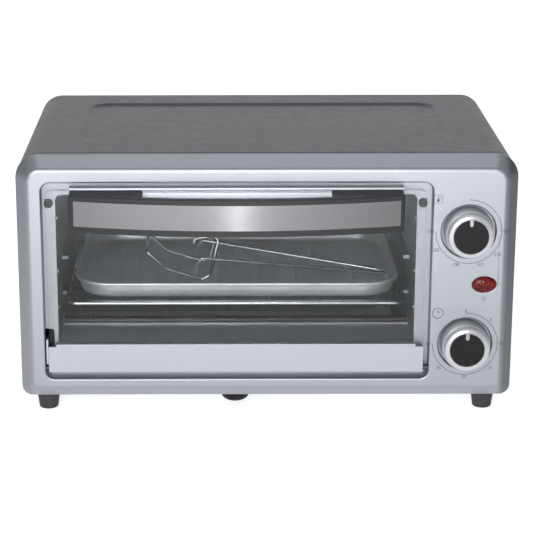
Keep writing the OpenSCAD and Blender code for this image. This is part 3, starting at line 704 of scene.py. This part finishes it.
def make_front_panel():
    shape = Shape()
    edge = profile([(0, PANEL.y1), (0, SLOPE_D, 1.6), (SLOPE_W, 0, 4.5), (SLOPE_W + 4.2, 0)], 8)
    rings = shape.skin([[(x, y, z) for x, z in bezel_outline(inset)] for inset, y in edge])
    holes = []
    recess = box_corners(*HINGE_RECESS, RECESS_R, RECESS_R)
    wall = profile([(RECESS_FILLET + 0.5, 0), (0, 0, RECESS_FILLET), (0, SHEET.y0 - 0.05)], 7)
    inner = [shape.loop([(x, y, z) for x, z in outline(recess, grow, 10)]) for grow, y in wall]
    for knob in KNOBS.values():
        path = profile([(WELL_R + WELL_FILLET + 0.3, 0), (WELL_R, 0, WELL_FILLET), (WELL_R, WELL_DEPTH),
                        (4.0, WELL_DEPTH)], 7)
        well = [shape.loop([(x, y, z) for x, z in oval(knob.mid_x, knob.mid_z, r, r, 96)]) for r, y in path]
        holes.append(well)
    lamp = profile([(1.5, 0), (0, 0, 1.0), (0, 2.5)], 5)
    a, b = LENS_BOX.wide / 2 - 1.4, LENS_BOX.high / 2 - 1.4
    holes.append([shape.loop([(x, y, z) for x, z in oval(LENS_BOX.mid_x, LENS_BOX.mid_z, a + g, b + g, 64)])
                  for g, y in lamp])
    holes.append(inner)
    for stack in holes:
        for one, two in zip(stack, stack[1:]):
            shape.bridge(one, two)
    shape.cap(rings[-1], [stack[0] for stack in holes])
    panel = shape.make("bezel", "housing", MATERIALS["bezel_paint"], ["front_panel"], 50)
    thicken(panel, 1.1)
    # Painted shade: the faces inside the door recess get a darker copy of the bezel paint.
    panel.data.materials.append(silver_paint("bezel_shade", RECESS_PAINTED_SHADE))
    x0, z0, x1, z1 = HINGE_RECESS
    low, high = put(x0 - 1, 1.0, z0 - 1), put(x1 + 1, PANEL.y1 + 1, z1 + 1)
    for face in panel.data.polygons:
        if all(a < c < b for a, c, b in zip(low, face.center, high)):
            face.material_index = 1
    return panel


def thicken(piece, mm):
    """Gives a skin its sheet thickness, on the side away from its normals."""
    modifier = piece.modifiers.new("sheet", "SOLIDIFY")
    modifier.thickness = mm * MM
    modifier.offset = -1
    modifier.use_even_offset = True
    piece.modifiers.move(len(piece.modifiers) - 1, 0)


COVER_R, COVER_LOWER_R = 17.0, 7.5
REAR_LIP, FLOOR_LIP = 9.5, 16.0
PRESSED_X, PRESSED_Y0, PRESSED_Y1, PRESSED_R = 139.0, 56.0, 194.5, 18.0
PRESSED_DROP, PRESSED_SLOPE = 1.5, 3.5


def pressed(x, y):
    """Depth of the panel pressed into the cover's top at a point."""
    qx = abs(x) - (PRESSED_X - PRESSED_R)
    qy = abs(y - (PRESSED_Y0 + PRESSED_Y1) / 2) - ((PRESSED_Y1 - PRESSED_Y0) / 2 - PRESSED_R)
    outside = math.hypot(max(qx, 0), max(qy, 0)) + min(max(qx, qy), 0) - PRESSED_R
    t = min(max(-outside / PRESSED_SLOPE, 0), 1)
    return PRESSED_DROP * t * t * (3 - 2 * t)


def cover_section(inset):
    """The cover's section from floor lip to floor lip, over the top."""
    x1, z0, z1 = COVER.x1 - inset, COVER.z0 + inset, COVER.z1 - inset
    upper, lower = COVER_R - inset, COVER_LOWER_R - inset
    across = 2 * (x1 - upper)
    count = int(across / 2.0)
    right = [(x1 - upper + upper * math.cos(a), z1 - upper + upper * math.sin(a))
             for a in (math.radians(90 - 7.5 * k) for k in range(1, 13))]
    right += [(x1, z1 - upper - (z1 - z0 - upper - lower) * k / 6) for k in range(1, 6)]
    right += arc(x1 - lower, z0 + lower, lower, 0, -90, 8)
    right += [(COVER.x1 - FLOOR_LIP, z0)]
    top = [(x1 - upper - across * k / count, z1) for k in range(count + 1)]
    return [(-x, z) for x, z in right[::-1]] + top[::-1] + right


def make_cover():
    """The wrapped cover: one sheet from floor lip to floor lip, with the panel pressed into its top."""
    start, back = COVER_START, COVER.y1
    rows = [(PANEL.y1 - 1.5, 2.0), (start + 0.1, 2.0), (start, 1.4), (start + 0.12, 0.4), (start + 0.8, 0.0)]
    stations = [start + 0.8 + (back - start - 2.4) * k / 110 for k in range(1, 111)]
    stations += [edge + 0.45 * k for edge in (PRESSED_Y0, PRESSED_Y1 - PRESSED_SLOPE) for k in range(9)]
    rows += [(y, 0.0) for y in sorted(stations)]
    rows += [(back - 0.75, 0.12), (back - 0.2, 0.55), (back, 1.2)]
    shape = Shape()
    rings = []
    for y, inset in rows:
        section = cover_section(inset)
        flat = COVER.z1 - inset - 0.01
        rings.append([(x, y, z - pressed(x, y) if z > flat else z) for x, z in section])
    made = shape.skin(rings, closed=False)
    lip = [(max(-COVER.x1 + REAR_LIP, min(COVER.x1 - REAR_LIP, x)), back, min(COVER.z1 - REAR_LIP, z))
           for x, z in cover_section(0)]
    shape.bridge(made[-1], shape.loop(lip), closed=False)
    cover = shape.make("cover", "housing", MATERIALS["cover_paint"], ["outer_cover"], 60)
    thicken(cover, 0.75)
    cut_cover(cover)
    return cover


def cut_cover(cover):
    """Cuts the side slots and the foot holes through the cover."""
    shape = Shape()
    for i in range(12):
        y = 150 + (i - 5.5) * 8
        slab(shape, box_corners(y - 1.6, 75, y + 1.6, 135, 1.55, 1.55), [(0, 176), (0, 186)],
             lambda u, v, d: (d, u, v))
    for node in ("front_feet", "rear_feet"):
        feet = Span(node)
        r = (feet.y1 - feet.y0) / 2
        for x in (feet.x0 + r, feet.x1 - r):
            rings = turn_up(shape, [(r + 0.4, COVER.z0 - 1), (r + 0.4, COVER.z0 + 2)], x, feet.mid_y, 48)
            shape.cap(rings[0])
            shape.cap(rings[1], flip=True)
    cutter = shape.make("cover_cutter", "housing", MATERIALS["cover_paint"])
    cut = cover.modifiers.new("holes", "BOOLEAN")
    cut.operation = "DIFFERENCE"
    cut.solver = "EXACT"
    cut.object = cutter
    cover.modifiers.move(len(cover.modifiers) - 1, 1)
    apply_modifier(cover, "holes")
    bpy.data.objects.remove(cutter)


def apply_modifier(piece, name):
    """Bakes the modifiers up to the named one into the mesh, and keeps the others."""
    later = []
    found = False
    for m in piece.modifiers:
        if found:
            later.append((m, m.show_viewport, m.show_render))
            m.show_viewport = m.show_render = False
        found = found or m.name == name
    graph = bpy.context.evaluated_depsgraph_get()
    graph.update()
    baked = bpy.data.meshes.new_from_object(piece.evaluated_get(graph))
    gone = []
    for m in piece.modifiers:
        gone.append(m)
        if m.name == name:
            break
    for m in gone:
        piece.modifiers.remove(m)
    for m, view, render in later:
        m.show_viewport, m.show_render = view, render
    piece.data = baked


# ---------------------------------------------------------------- door


def make_glass():
    shape = Shape()
    corners = box_corners(GLASS.x0, GLASS.z0, GLASS.x1, GLASS.z1, 5, 1)
    path = [(-0.5, GLASS.y0), (0, GLASS.y0 + 0.5), (0, GLASS.y1 - 0.5), (-0.5, GLASS.y1)]
    slab(shape, corners, path, facing)
    return shape.make("glass_pane", "door", MATERIALS["door_glass"], ["door_glass"], 30)


def make_rail():
    shape = Shape()
    notch = 2.1
    end = 5.9
    r = 0.8
    corners = [(RAIL.x0, RAIL.z0, 1.2), (RAIL.x1, RAIL.z0, 1.2), (RAIL.x1, RAIL.z1 - notch, 1.0),
               (RAIL.x1 - end, RAIL.z1 - notch, 0.6), (RAIL.x1 - end, RAIL.z1, 0.8),
               (RAIL.x0 + end, RAIL.z1, 0.8), (RAIL.x0 + end, RAIL.z1 - notch, 0.6),
               (RAIL.x0, RAIL.z1 - notch, 1.0)]
    slab(shape, corners, soft_edge(RAIL.y0, GLASS.y0 - 0.05, r), facing)
    behind = box_corners(RAIL.x0 + 0.2, RAIL.z0 + 0.1, RAIL.x1 - 0.2, RAIL.z1 - 4, 0.8, 0.8)
    slab(shape, behind, soft_edge(GLASS.y1 + 0.02, RAIL.y1, 0.3), facing)
    under = box_corners(RAIL.x0 + 0.1, RAIL.z0 + 0.05, RAIL.x1 - 0.1, GLASS.z0 - 0.1, 0.3, 0.8)
    slab(shape, under, soft_edge(RAIL.y0 + 0.9, RAIL.y1 - 0.1, 0.3), facing)
    return shape.make("rail", "door", MATERIALS["rail_paint"], ["door_bottom_rail"], 35)


def make_trim():
    """Folded clip along the top of the glass."""
    shape = Shape()
    y0, y1, z0, z1 = TRIM.y0, TRIM.y1, TRIM.z0, TRIM.z1
    t = 0.75
    outer = [(y0, z0), (y0 + 1.7, z1, 1.4), (y1, z1, 1.4), (y1, z0)]
    inner = [(y1 - t, z0), (y1 - t, z1 - 1.7, 0.6), (y0 + 1.5 + t, z1 - 1.7, 0.6), (y0 + t, z0)]
    section = profile(outer, 5) + profile(inner, 5)
    a = shape.loop([(TRIM.x0, y, z) for y, z in section])
    b = shape.loop([(TRIM.x1, y, z) for y, z in section])
    shape.bridge(a, b)
    shape.cap(a, flip=True)
    shape.cap(b)
    return shape.make("top_clip", "door", MATERIALS["rail_paint"], ["door_top_trim"], 35)


HANDLE_BOW = 15.0


def handle_y(x, back=0.0):
    """Depth of the bowed bar's front at x, moved back from its face."""
    half = GRIP.wide / 2
    radius = (half * half + HANDLE_BOW * HANDLE_BOW) / (2 * HANDLE_BOW)
    return GRIP.y0 + radius - math.sqrt((radius - back) ** 2 - (x - GRIP.mid_x) ** 2)


GAP_X0, GAP_X1 = -90.1, 46.8
BAR_T = 7.0


def make_grip():
    """Bowed moulding: one bar with a mounting block at each end."""
    shape = Shape()
    proud = 0.35
    count = 40
    back = GLASS.y0 - 0.1
    front = [(GRIP.x0 + GRIP.wide * k / count, handle_y(GRIP.x0 + GRIP.wide * k / count, proud), 0)
             for k in range(count + 1)]
    front[0] = (*front[0][:2], 1.6)
    front[-1] = (*front[-1][:2], 1.6)
    gap = [(GAP_X1 + (GAP_X0 - GAP_X1) * k / 24, handle_y(GAP_X1 + (GAP_X0 - GAP_X1) * k / 24, BAR_T), 0)
           for k in range(25)]
    gap[0] = (*gap[0][:2], 2.5)
    gap[-1] = (*gap[-1][:2], 2.5)
    plan = front + [(GRIP.x1, back, 0.6), (GAP_X1, back, 0.6)]
    plan += gap + [(GAP_X0, back, 0.6), (GRIP.x0, back, 0.6)]
    path = profile([(-1.8, GRIP.z0), (0, GRIP.z0, 1.8), (0, GRIP.z1, 1.8), (-1.8, GRIP.z1)], 5)
    slab(shape, plan, path, lying)
    return shape.make("handle_moulding", "door", MATERIALS["black_plastic"],
                      ["handle_grip"], 40)


def make_handle_plate():
    """Brushed plate that follows the bow."""
    shape = Shape()
    count = 60
    r = 0.25
    rows = []
    z0, z1 = PLATE.z0, PLATE.z1
    section = [(z0, 0.75), (z0, r), (z0 + r, 0), (z1 - r, 0), (z1, r), (z1, 0.75)]
    for k in range(count + 1):
        x = PLATE.x0 + PLATE.wide * k / count
        rows.append(shape.loop([(x, handle_y(x, back), z) for z, back in section]))
    for a, b in zip(rows, rows[1:]):
        shape.bridge(a, b)
    shape.cap(rows[0], flip=True)
    shape.cap(rows[-1])
    return shape.make("handle_inlay", "door", MATERIALS["brushed_plate"],
                      ["handle_plate"], 30)


# ---------------------------------------------------------------- controls

POINTER_W, POINTER_L = 2.7, 3.6
FACE_R = 12.5


def make_knob(name, knob):
    """Silver turned body, black inset face and a silver pointer."""
    cx, cz = knob.mid_x, knob.mid_z
    body = name + "_dial"
    reach = -knob.y0
    r = knob.wide / 2
    shape = Shape()
    path = profile([(0, -1.9), (r, -1.9, 0.5), (r - 0.8, reach - 6.4, 0.4), (r - 1.4, reach - 6.1, 0.15),
                    (r - 1.3, reach - 5.6, 0.3), (r - 1.7, reach - 1.5, 2.6),
                    (FACE_R + 0.9, reach - 0.45, 0.5), (FACE_R + 0.5, reach, 0.2),
                    (FACE_R, reach - 0.8, 0.15), (0, reach - 1.0)], 7)
    path[0], path[-1] = (0.01, path[0][1]), (0.01, path[-1][1])
    lathe(shape, path, cx, cz, 128)
    shape.make(name + "_knob_body", body, MATERIALS["knob_silver"],
               [name + "_knob", name + "_shaft"], 32)
    disc = Shape()
    half = POINTER_W / 2 + 0.08
    low = cz + FACE_R - POINTER_L
    start = math.degrees(math.acos(half / FACE_R))
    rim = [(x, z, 0) for x, z in arc(cx, cz, FACE_R - 0.05, 180 - start, 360 + start, 96)]
    notch = [(x, z, 0) for x, z in arc(cx, low, half, 360, 180, 10)]
    disc_edge = [(-0.35, 0.28 - reach), (-0.12, 0.34 - reach), (0, 0.55 - reach), (0, 1.5 - reach)]
    slab(disc, rim + notch, disc_edge, facing)
    disc.make(name + "_knob_inset", body, MATERIALS["knob_face_black"],
              [name + "_knob_face"], 40)
    mark = Shape()
    w = POINTER_W / 2
    up = [(cx + w, cz + FACE_R + 0.2, 0), (cx - w, cz + FACE_R + 0.2, 0)]
    tip = [(x, z, 0) for x, z in arc(cx, low, w, 180, 360, 10)]
    mark_edge = [(-0.3, 0.1 - reach), (-0.1, 0.16 - reach), (0, 0.35 - reach), (0, 1.3 - reach)]
    slab(mark, tip + up, mark_edge, facing)
    mark.make(name + "_knob_mark", body, MATERIALS["bezel_paint"], [name + "_pointer"], 40)


def make_lens():
    """Oval domed lens with a rim."""
    shape = Shape()
    a, b = LENS_BOX.wide / 2 - 1.4, LENS_BOX.high / 2 - 1.4
    rings = []
    path = [(0.5, 2.4), (-0.02, 2.4), (-0.02, 0.1), (-0.25, -0.25)]
    rings += [shape.loop([(x, y, z) for x, z in oval(LENS_BOX.mid_x, LENS_BOX.mid_z, a + g, b + g, 64)])
              for g, y in path]
    depth = -LENS_BOX.y0 - 0.3
    for k in range(1, 12):
        t = math.radians(90 * k / 12)
        s = math.cos(t)
        rings.append(shape.loop([(x, -0.3 - depth * math.sin(t), z) for x, z in
                                 oval(LENS_BOX.mid_x, LENS_BOX.mid_z, (a - 0.3) * s, (b - 0.3) * s, 64)]))
    for one, two in zip(rings, rings[1:]):
        shape.bridge(one, two)
    shape.fan(rings[-1], (LENS_BOX.mid_x, LENS_BOX.y0, LENS_BOX.mid_z))
    shape.cap(rings[0])
    return shape.make("lamp_lens", "housing", MATERIALS["lens_red"], ["indicator_lens"], 30)


PRINT_UP = 0.03


def ribbon(shape, points, width, closed=False):
    """A printed line that lies on the bezel's face."""
    n = len(points)
    left, right = [], []
    for i, p in enumerate(points):
        a = Vector(points[i - 1] if closed or i else p)
        b = Vector(points[(i + 1) % n] if closed or i < n - 1 else p)
        side = (b - a).normalized() * (width / 2)
        left.append((p[0] - side.y, -PRINT_UP, p[1] + side.x))
        right.append((p[0] + side.y, -PRINT_UP, p[1] - side.x))
    shape.bridge(shape.loop(left), shape.loop(right), closed)


def disc_print(shape, x, z, r):
    ring = shape.loop([(px, -PRINT_UP, pz) for px, pz in oval(x, z, r, r, 20)])
    shape.cap(ring)


DIAL_R = 23.9
DIAL_LINE = 0.42
NUMBER_SIZE = 2.6


def number(text, x, z):
    """A printed number, centred on a point of the bezel's face."""
    curve = bpy.data.curves.new("digits", "FONT")
    curve.body = text
    curve.size = NUMBER_SIZE * 1.35
    curve.align_x, curve.align_y = "CENTER", "CENTER"
    curve.resolution_u = 4
    holder = bpy.data.objects.new("digits", curve)
    bpy.context.scene.collection.objects.link(holder)
    graph = bpy.context.evaluated_depsgraph_get()
    flat = bpy.data.meshes.new_from_object(holder.evaluated_get(graph))
    points = [(v.co.x + x, -PRINT_UP, v.co.y + z) for v in flat.vertices]
    faces = [tuple(p.vertices) for p in flat.polygons]
    bpy.data.objects.remove(holder)
    return points, faces


def clock_point(knob, hours, r):
    a = math.radians(90 - 30 * hours)
    return knob.mid_x + r * math.cos(a), knob.mid_z + r * math.sin(a)


def make_print():
    """Dial arcs, numbers and three plain symbols, printed on the face."""
    shape = Shape()
    labels = {
        "temperature": {3: "100", 4.3: "130", 5.35: "160", 6.65: "190", 8: "220", 9: "250"},
        "timer": {0: "0", 1.5: "5", 3: "10", 4.5: "15", 6: "20", 7.5: "25", 9: "30"},
    }
    for name, knob in KNOBS.items():
        ribbon(shape, [clock_point(knob, 9 * k / 90, DIAL_R) for k in range(91)], DIAL_LINE)
        for hours, text in labels[name].items():
            wide = NUMBER_SIZE * (0.28 * len(text) * abs(math.sin(math.radians(30 * hours))))
            ribbon(shape, [clock_point(knob, hours, DIAL_R), clock_point(knob, hours, DIAL_R + 0.9)], 0.3)
            x, z = clock_point(knob, hours, DIAL_R + 1.9 + wide)
            points, faces = number(text, x, z)
            first = len(shape.points)
            shape.points += [Vector(p) for p in points]
            shape.faces += [tuple(first + i for i in f) for f in faces]
    # thermometer in a square
    tx, tz, half = 123.6, 168.8, 3.0
    square = box_corners(tx - half, tz - half, tx + half, tz + half, 0.4, 0.4)
    ribbon(shape, outline(square, 0, 3), 0.3, closed=True)
    disc_print(shape, tx, tz - 1.1, 1.05)
    ribbon(shape, [(tx, tz - 1.1), (tx, tz + 2.0)], 0.5)
    for k in range(3):
        ribbon(shape, [(tx + 0.7, tz + 0.4 + 0.7 * k), (tx + 1.5, tz + 0.4 + 0.7 * k)], 0.22)
    # clock
    kx, kz, kr = 125.8, 82.3, 3.9
    ribbon(shape, oval(kx, kz, kr, kr, 40), 0.5, closed=True)
    ribbon(shape, [(kx, kz + 2.3), (kx, kz), (kx + 1.7, kz + 1.0)], 0.45)
    # power symbol under the lamp
    px, pz, pr = LENS_BOX.mid_x, LENS_BOX.z0 - 3.4, 1.25
    ribbon(shape, arc(px, pz, pr, 125, 415, 24), 0.34)
    ribbon(shape, [(px, pz + 0.4), (px, pz + 1.75)], 0.34)
    print_piece = shape.make("dial_print", "housing", PRINT, (), 180, 1e-7)
    thicken(print_piece, 0.03)
    return print_piece


# ---------------------------------------------------------------- oven ware

FRAME_WIRE, CROSS_WIRE = 1.5, 1.0
RACK_R, STAY_INSET = 9.0, 5.5


def make_rack():
    shape = Shape()
    r = FRAME_WIRE
    z = (RACK.z0 + RACK.z1) / 2 - 0.05
    x0, x1 = RACK.x0 + r, RACK.x1 - r
    y0, y1 = RACK.y0 + r, RACK.y1 - r
    ring = [(x, y, z) for x, y in outline(box_corners(x0, y0, x1, y1, RACK_R, RACK_R), 0, 10)]
    tube(shape, ring, r, 16, closed=True)
    pitch, count = 26.0, 9
    for i in range(count):
        x = RACK.mid_x + (i - (count - 1) / 2) * pitch
        run = [(x, y0 - 0.6, z + 0.35), (x, y0 + 4, z + 0.6), (x, y1 - 4, z + 0.6), (x, y1 + 0.6, z + 0.35)]
        tube(shape, run, CROSS_WIRE, 12)
    for y in (y0 + STAY_INSET, y1 - STAY_INSET):
        tube(shape, [(x0, y, z - 0.6), (x1, y, z - 0.6)], CROSS_WIRE, 12)
    return shape.make("rack_wires", "rack", MATERIALS["chrome_wire"], ["wire_rack"], 60)


TRAY_R, TRAY_DRAFT, BEAD = 28.0, 4.0, 1.3


def tray_ring(inset, z):
    corners = box_corners(TRAY.x0, TRAY.y0, TRAY.x1, TRAY.y1, TRAY_R, TRAY_R)
    return [(x, y, z) for x, y in outline(corners, -inset, 14)]


def make_tray():
    """Drawn tray: rolled rim, drafted wall, soft floor corner and pressed ribs."""
    shape = Shape()
    z0, z1 = TRAY.z0, TRAY.z1
    bead = [(BEAD - BEAD * math.cos(t), z1 - BEAD + BEAD * math.sin(t)) for t in
            (math.radians(a) for a in range(-120, 151, 18))]
    wall_top = 2 * BEAD
    inside = profile([(wall_top - 0.2, z1 - BEAD * 1.4), (wall_top + TRAY_DRAFT - 0.6, z0 + 0.8, 5.0),
                      (wall_top + TRAY_DRAFT + 14, z0 + 0.8)], 8)
    under = profile([(wall_top + TRAY_DRAFT + 14, z0), (wall_top + TRAY_DRAFT - 1.2, z0, 5.2),
                     (wall_top - 0.9, z1 - BEAD * 1.6)], 8)
    rings = shape.skin([tray_ring(i, z) for i, z in bead + inside])
    shape.cap(rings[-1])
    lower = shape.skin([tray_ring(i, z) for i, z in under])
    shape.cap(lower[0], flip=True)
    shape.bridge(lower[-1], rings[0])
    for i in range(-6, 7):
        rib(shape, TRAY.mid_x + i * 15.0, TRAY.y0 + 24, TRAY.y1 - 24, z0 + 0.8, 2.6, 0.75)
    return shape.make("tray_shell", "tray", MATERIALS["tray_steel"], ["baking_tray"], 50)


def rib(shape, x, y0, y1, z, half, high):
    """A pressed rib that blends into the floor on all sides."""
    rings = []
    for k in range(25):
        t = k / 24
        y = y0 + (y1 - y0) * t
        end = min(1.0, min(t, 1 - t) * 12)
        lift = high * (1 - (1 - end) ** 2)
        wide = half * (0.25 + 0.75 * math.sqrt(end))
        ring = []
        for j in range(9):
            u = -1 + j / 4
            ring.append((x + u * wide, y, z + 0.01 + lift * math.cos(u * math.pi / 2) ** 2))
        rings.append(ring)
    shape.skin(rings, closed=False)


NEAR_Y, FAR_Y = 68.0, 118.0
LIFTER_R = 1.2


def make_lifter():
    """Tray lifter: a bent jaw wire and a long hairpin handle hooked over it."""
    shape = Shape()
    rest = TRAY.z0 + 3.1
    top = LIFTER.z1 - LIFTER_R

    def side(y):
        return [(-54, y, top - 5.5), (-53.2, y, top - 1.5), (-38.5, y, top), (-35.5, y, top - 3),
                (-39, y, rest + 15), (-42, y, rest + 3), (-48, y, rest), (-76, y, rest + 8.5),
                (-90.6, y, rest + 22.6)]

    jaw = side(NEAR_Y) + side(FAR_Y)[::-1]
    tube(shape, bend(jaw, 3.2, 5), LIFTER_R, 12)
    hook = rest + 17.5
    handle = [(-52.0, NEAR_Y - 2.3, hook - 6), (-48.0, NEAR_Y - 2.3, hook),
              (88, 77, rest + 2.0), (92.8, 79, rest + 1.4), (92.8, 84.5, rest + 1.4),
              (88, 86.5, rest + 2.0), (-48.0, FAR_Y - 2.3, hook), (-52.0, FAR_Y - 2.3, hook - 6)]
    tube(shape, bend(handle, 3.0, 5), LIFTER_R, 12)
    return shape.make("lifter_wires", "lifter", MATERIALS["chrome_wire"], ["tray_lifter"], 60)


# ---------------------------------------------------------------- feet and small pieces


def make_feet():
    foot = Span("front_feet")
    r = (foot.y1 - foot.y0) / 2
    for name in ("front_feet", "rear_feet"):
        span = Span(name)
        shape = Shape()
        for cx in (span.x0 + r, span.x1 - r):
            path = profile([(4.2, span.z0 + 3), (4.2, span.z0, 0.4), (r - 1.2, span.z0, 2.2),
                            (r - 0.1, span.z0 + 9, 3), (r, span.z1)], 6)
            rings = turn_up(shape, path, cx, span.mid_y)
            shape.cap(rings[-1])
            shape.cap(rings[0], flip=True)
        shape.make(name + "_pegs", "housing", MATERIALS["black_rubber"], [name], 40)


def make_crumb_knob():
    span = Span("crumb_tray_knob")
    r = span.wide / 2
    shape = Shape()
    path = profile([(0.02, span.z0), (r * 0.62, span.z0 + 0.2, 7), (r - 0.7, span.z0 + 3.0, 4),
                    (r, span.z1 - 1.6, 2), (r - 0.2, span.z1, 0.4), (0.02, span.z1)], 8)
    turn_up(shape, path, span.mid_x, span.mid_y)
    return shape.make("crumb_knob", "crumb_door", MATERIALS["knob_face_black"],
                      ["crumb_tray_knob"], 40)


# ---------------------------------------------------------------- studio


def area_light(name, where, towards, size, power):
    data = bpy.data.lights.new(name, "AREA")
    data.shape = "RECTANGLE"
    data.size, data.size_y = size
    data.energy = power
    light = bpy.data.objects.new(name, data)
    bpy.context.scene.collection.objects.link(light)
    light.location = where
    light.rotation_euler = (Vector(towards) - Vector(where)).to_track_quat("-Z", "Y").to_euler()


FLOOR_REACH = 9.0
WORLD_LEVEL = 0.40


def make_studio():
    """A pale floor that glows with a painted pool of light, an even world and four soft lights. Places here
    are in metres and power is in watts.
    """
    mesh = bpy.data.meshes.new("studio_floor")
    near, far = -FLOOR_REACH, FLOOR_REACH
    corners = [(near, near, 0), (far, near, 0), (far, far, 0), (near, far, 0)]
    mesh.from_pydata(corners, [], [(0, 1, 2, 3)])
    floor = bpy.data.objects.new("studio_floor", mesh)
    bpy.context.scene.collection.objects.link(floor)
    floor.data.materials.append(floor_paper())
    world = bpy.data.worlds.new("studio")
    bpy.context.scene.world = world
    world.use_nodes = True
    back = world.node_tree.nodes["Background"]
    back.inputs["Color"].default_value = (0.96, 0.98, 1.0, 1)
    back.inputs["Strength"].default_value = WORLD_LEVEL
    middle = (0, 0, 0.1)
    area_light("key", (-0.7, -2.4, 0.95), middle, (1.6, 0.9), 26)
    area_light("strip", (0.0, -1.75, 0.45), middle, (0.05, 0.8), 10)
    area_light("overhead", (0.0, -0.1, 2.3), middle, (1.6, 0.5), 4.6)
    area_light("backdrop", (0.0, 3.2, 1.05), middle, (4.0, 1.3), 13)
    bpy.context.scene.view_settings.view_transform = "Standard"


# ---------------------------------------------------------------- the build

make_camera()
make_studio()
dress_frame()
make_front_panel()
make_cover()
make_glass()
make_rail()
make_trim()
make_grip()
make_handle_plate()
for dial, box in KNOBS.items():
    make_knob(dial, box)
make_lens()
make_print()
make_rack()
make_tray()
make_lifter()
make_feet()
make_crumb_knob()
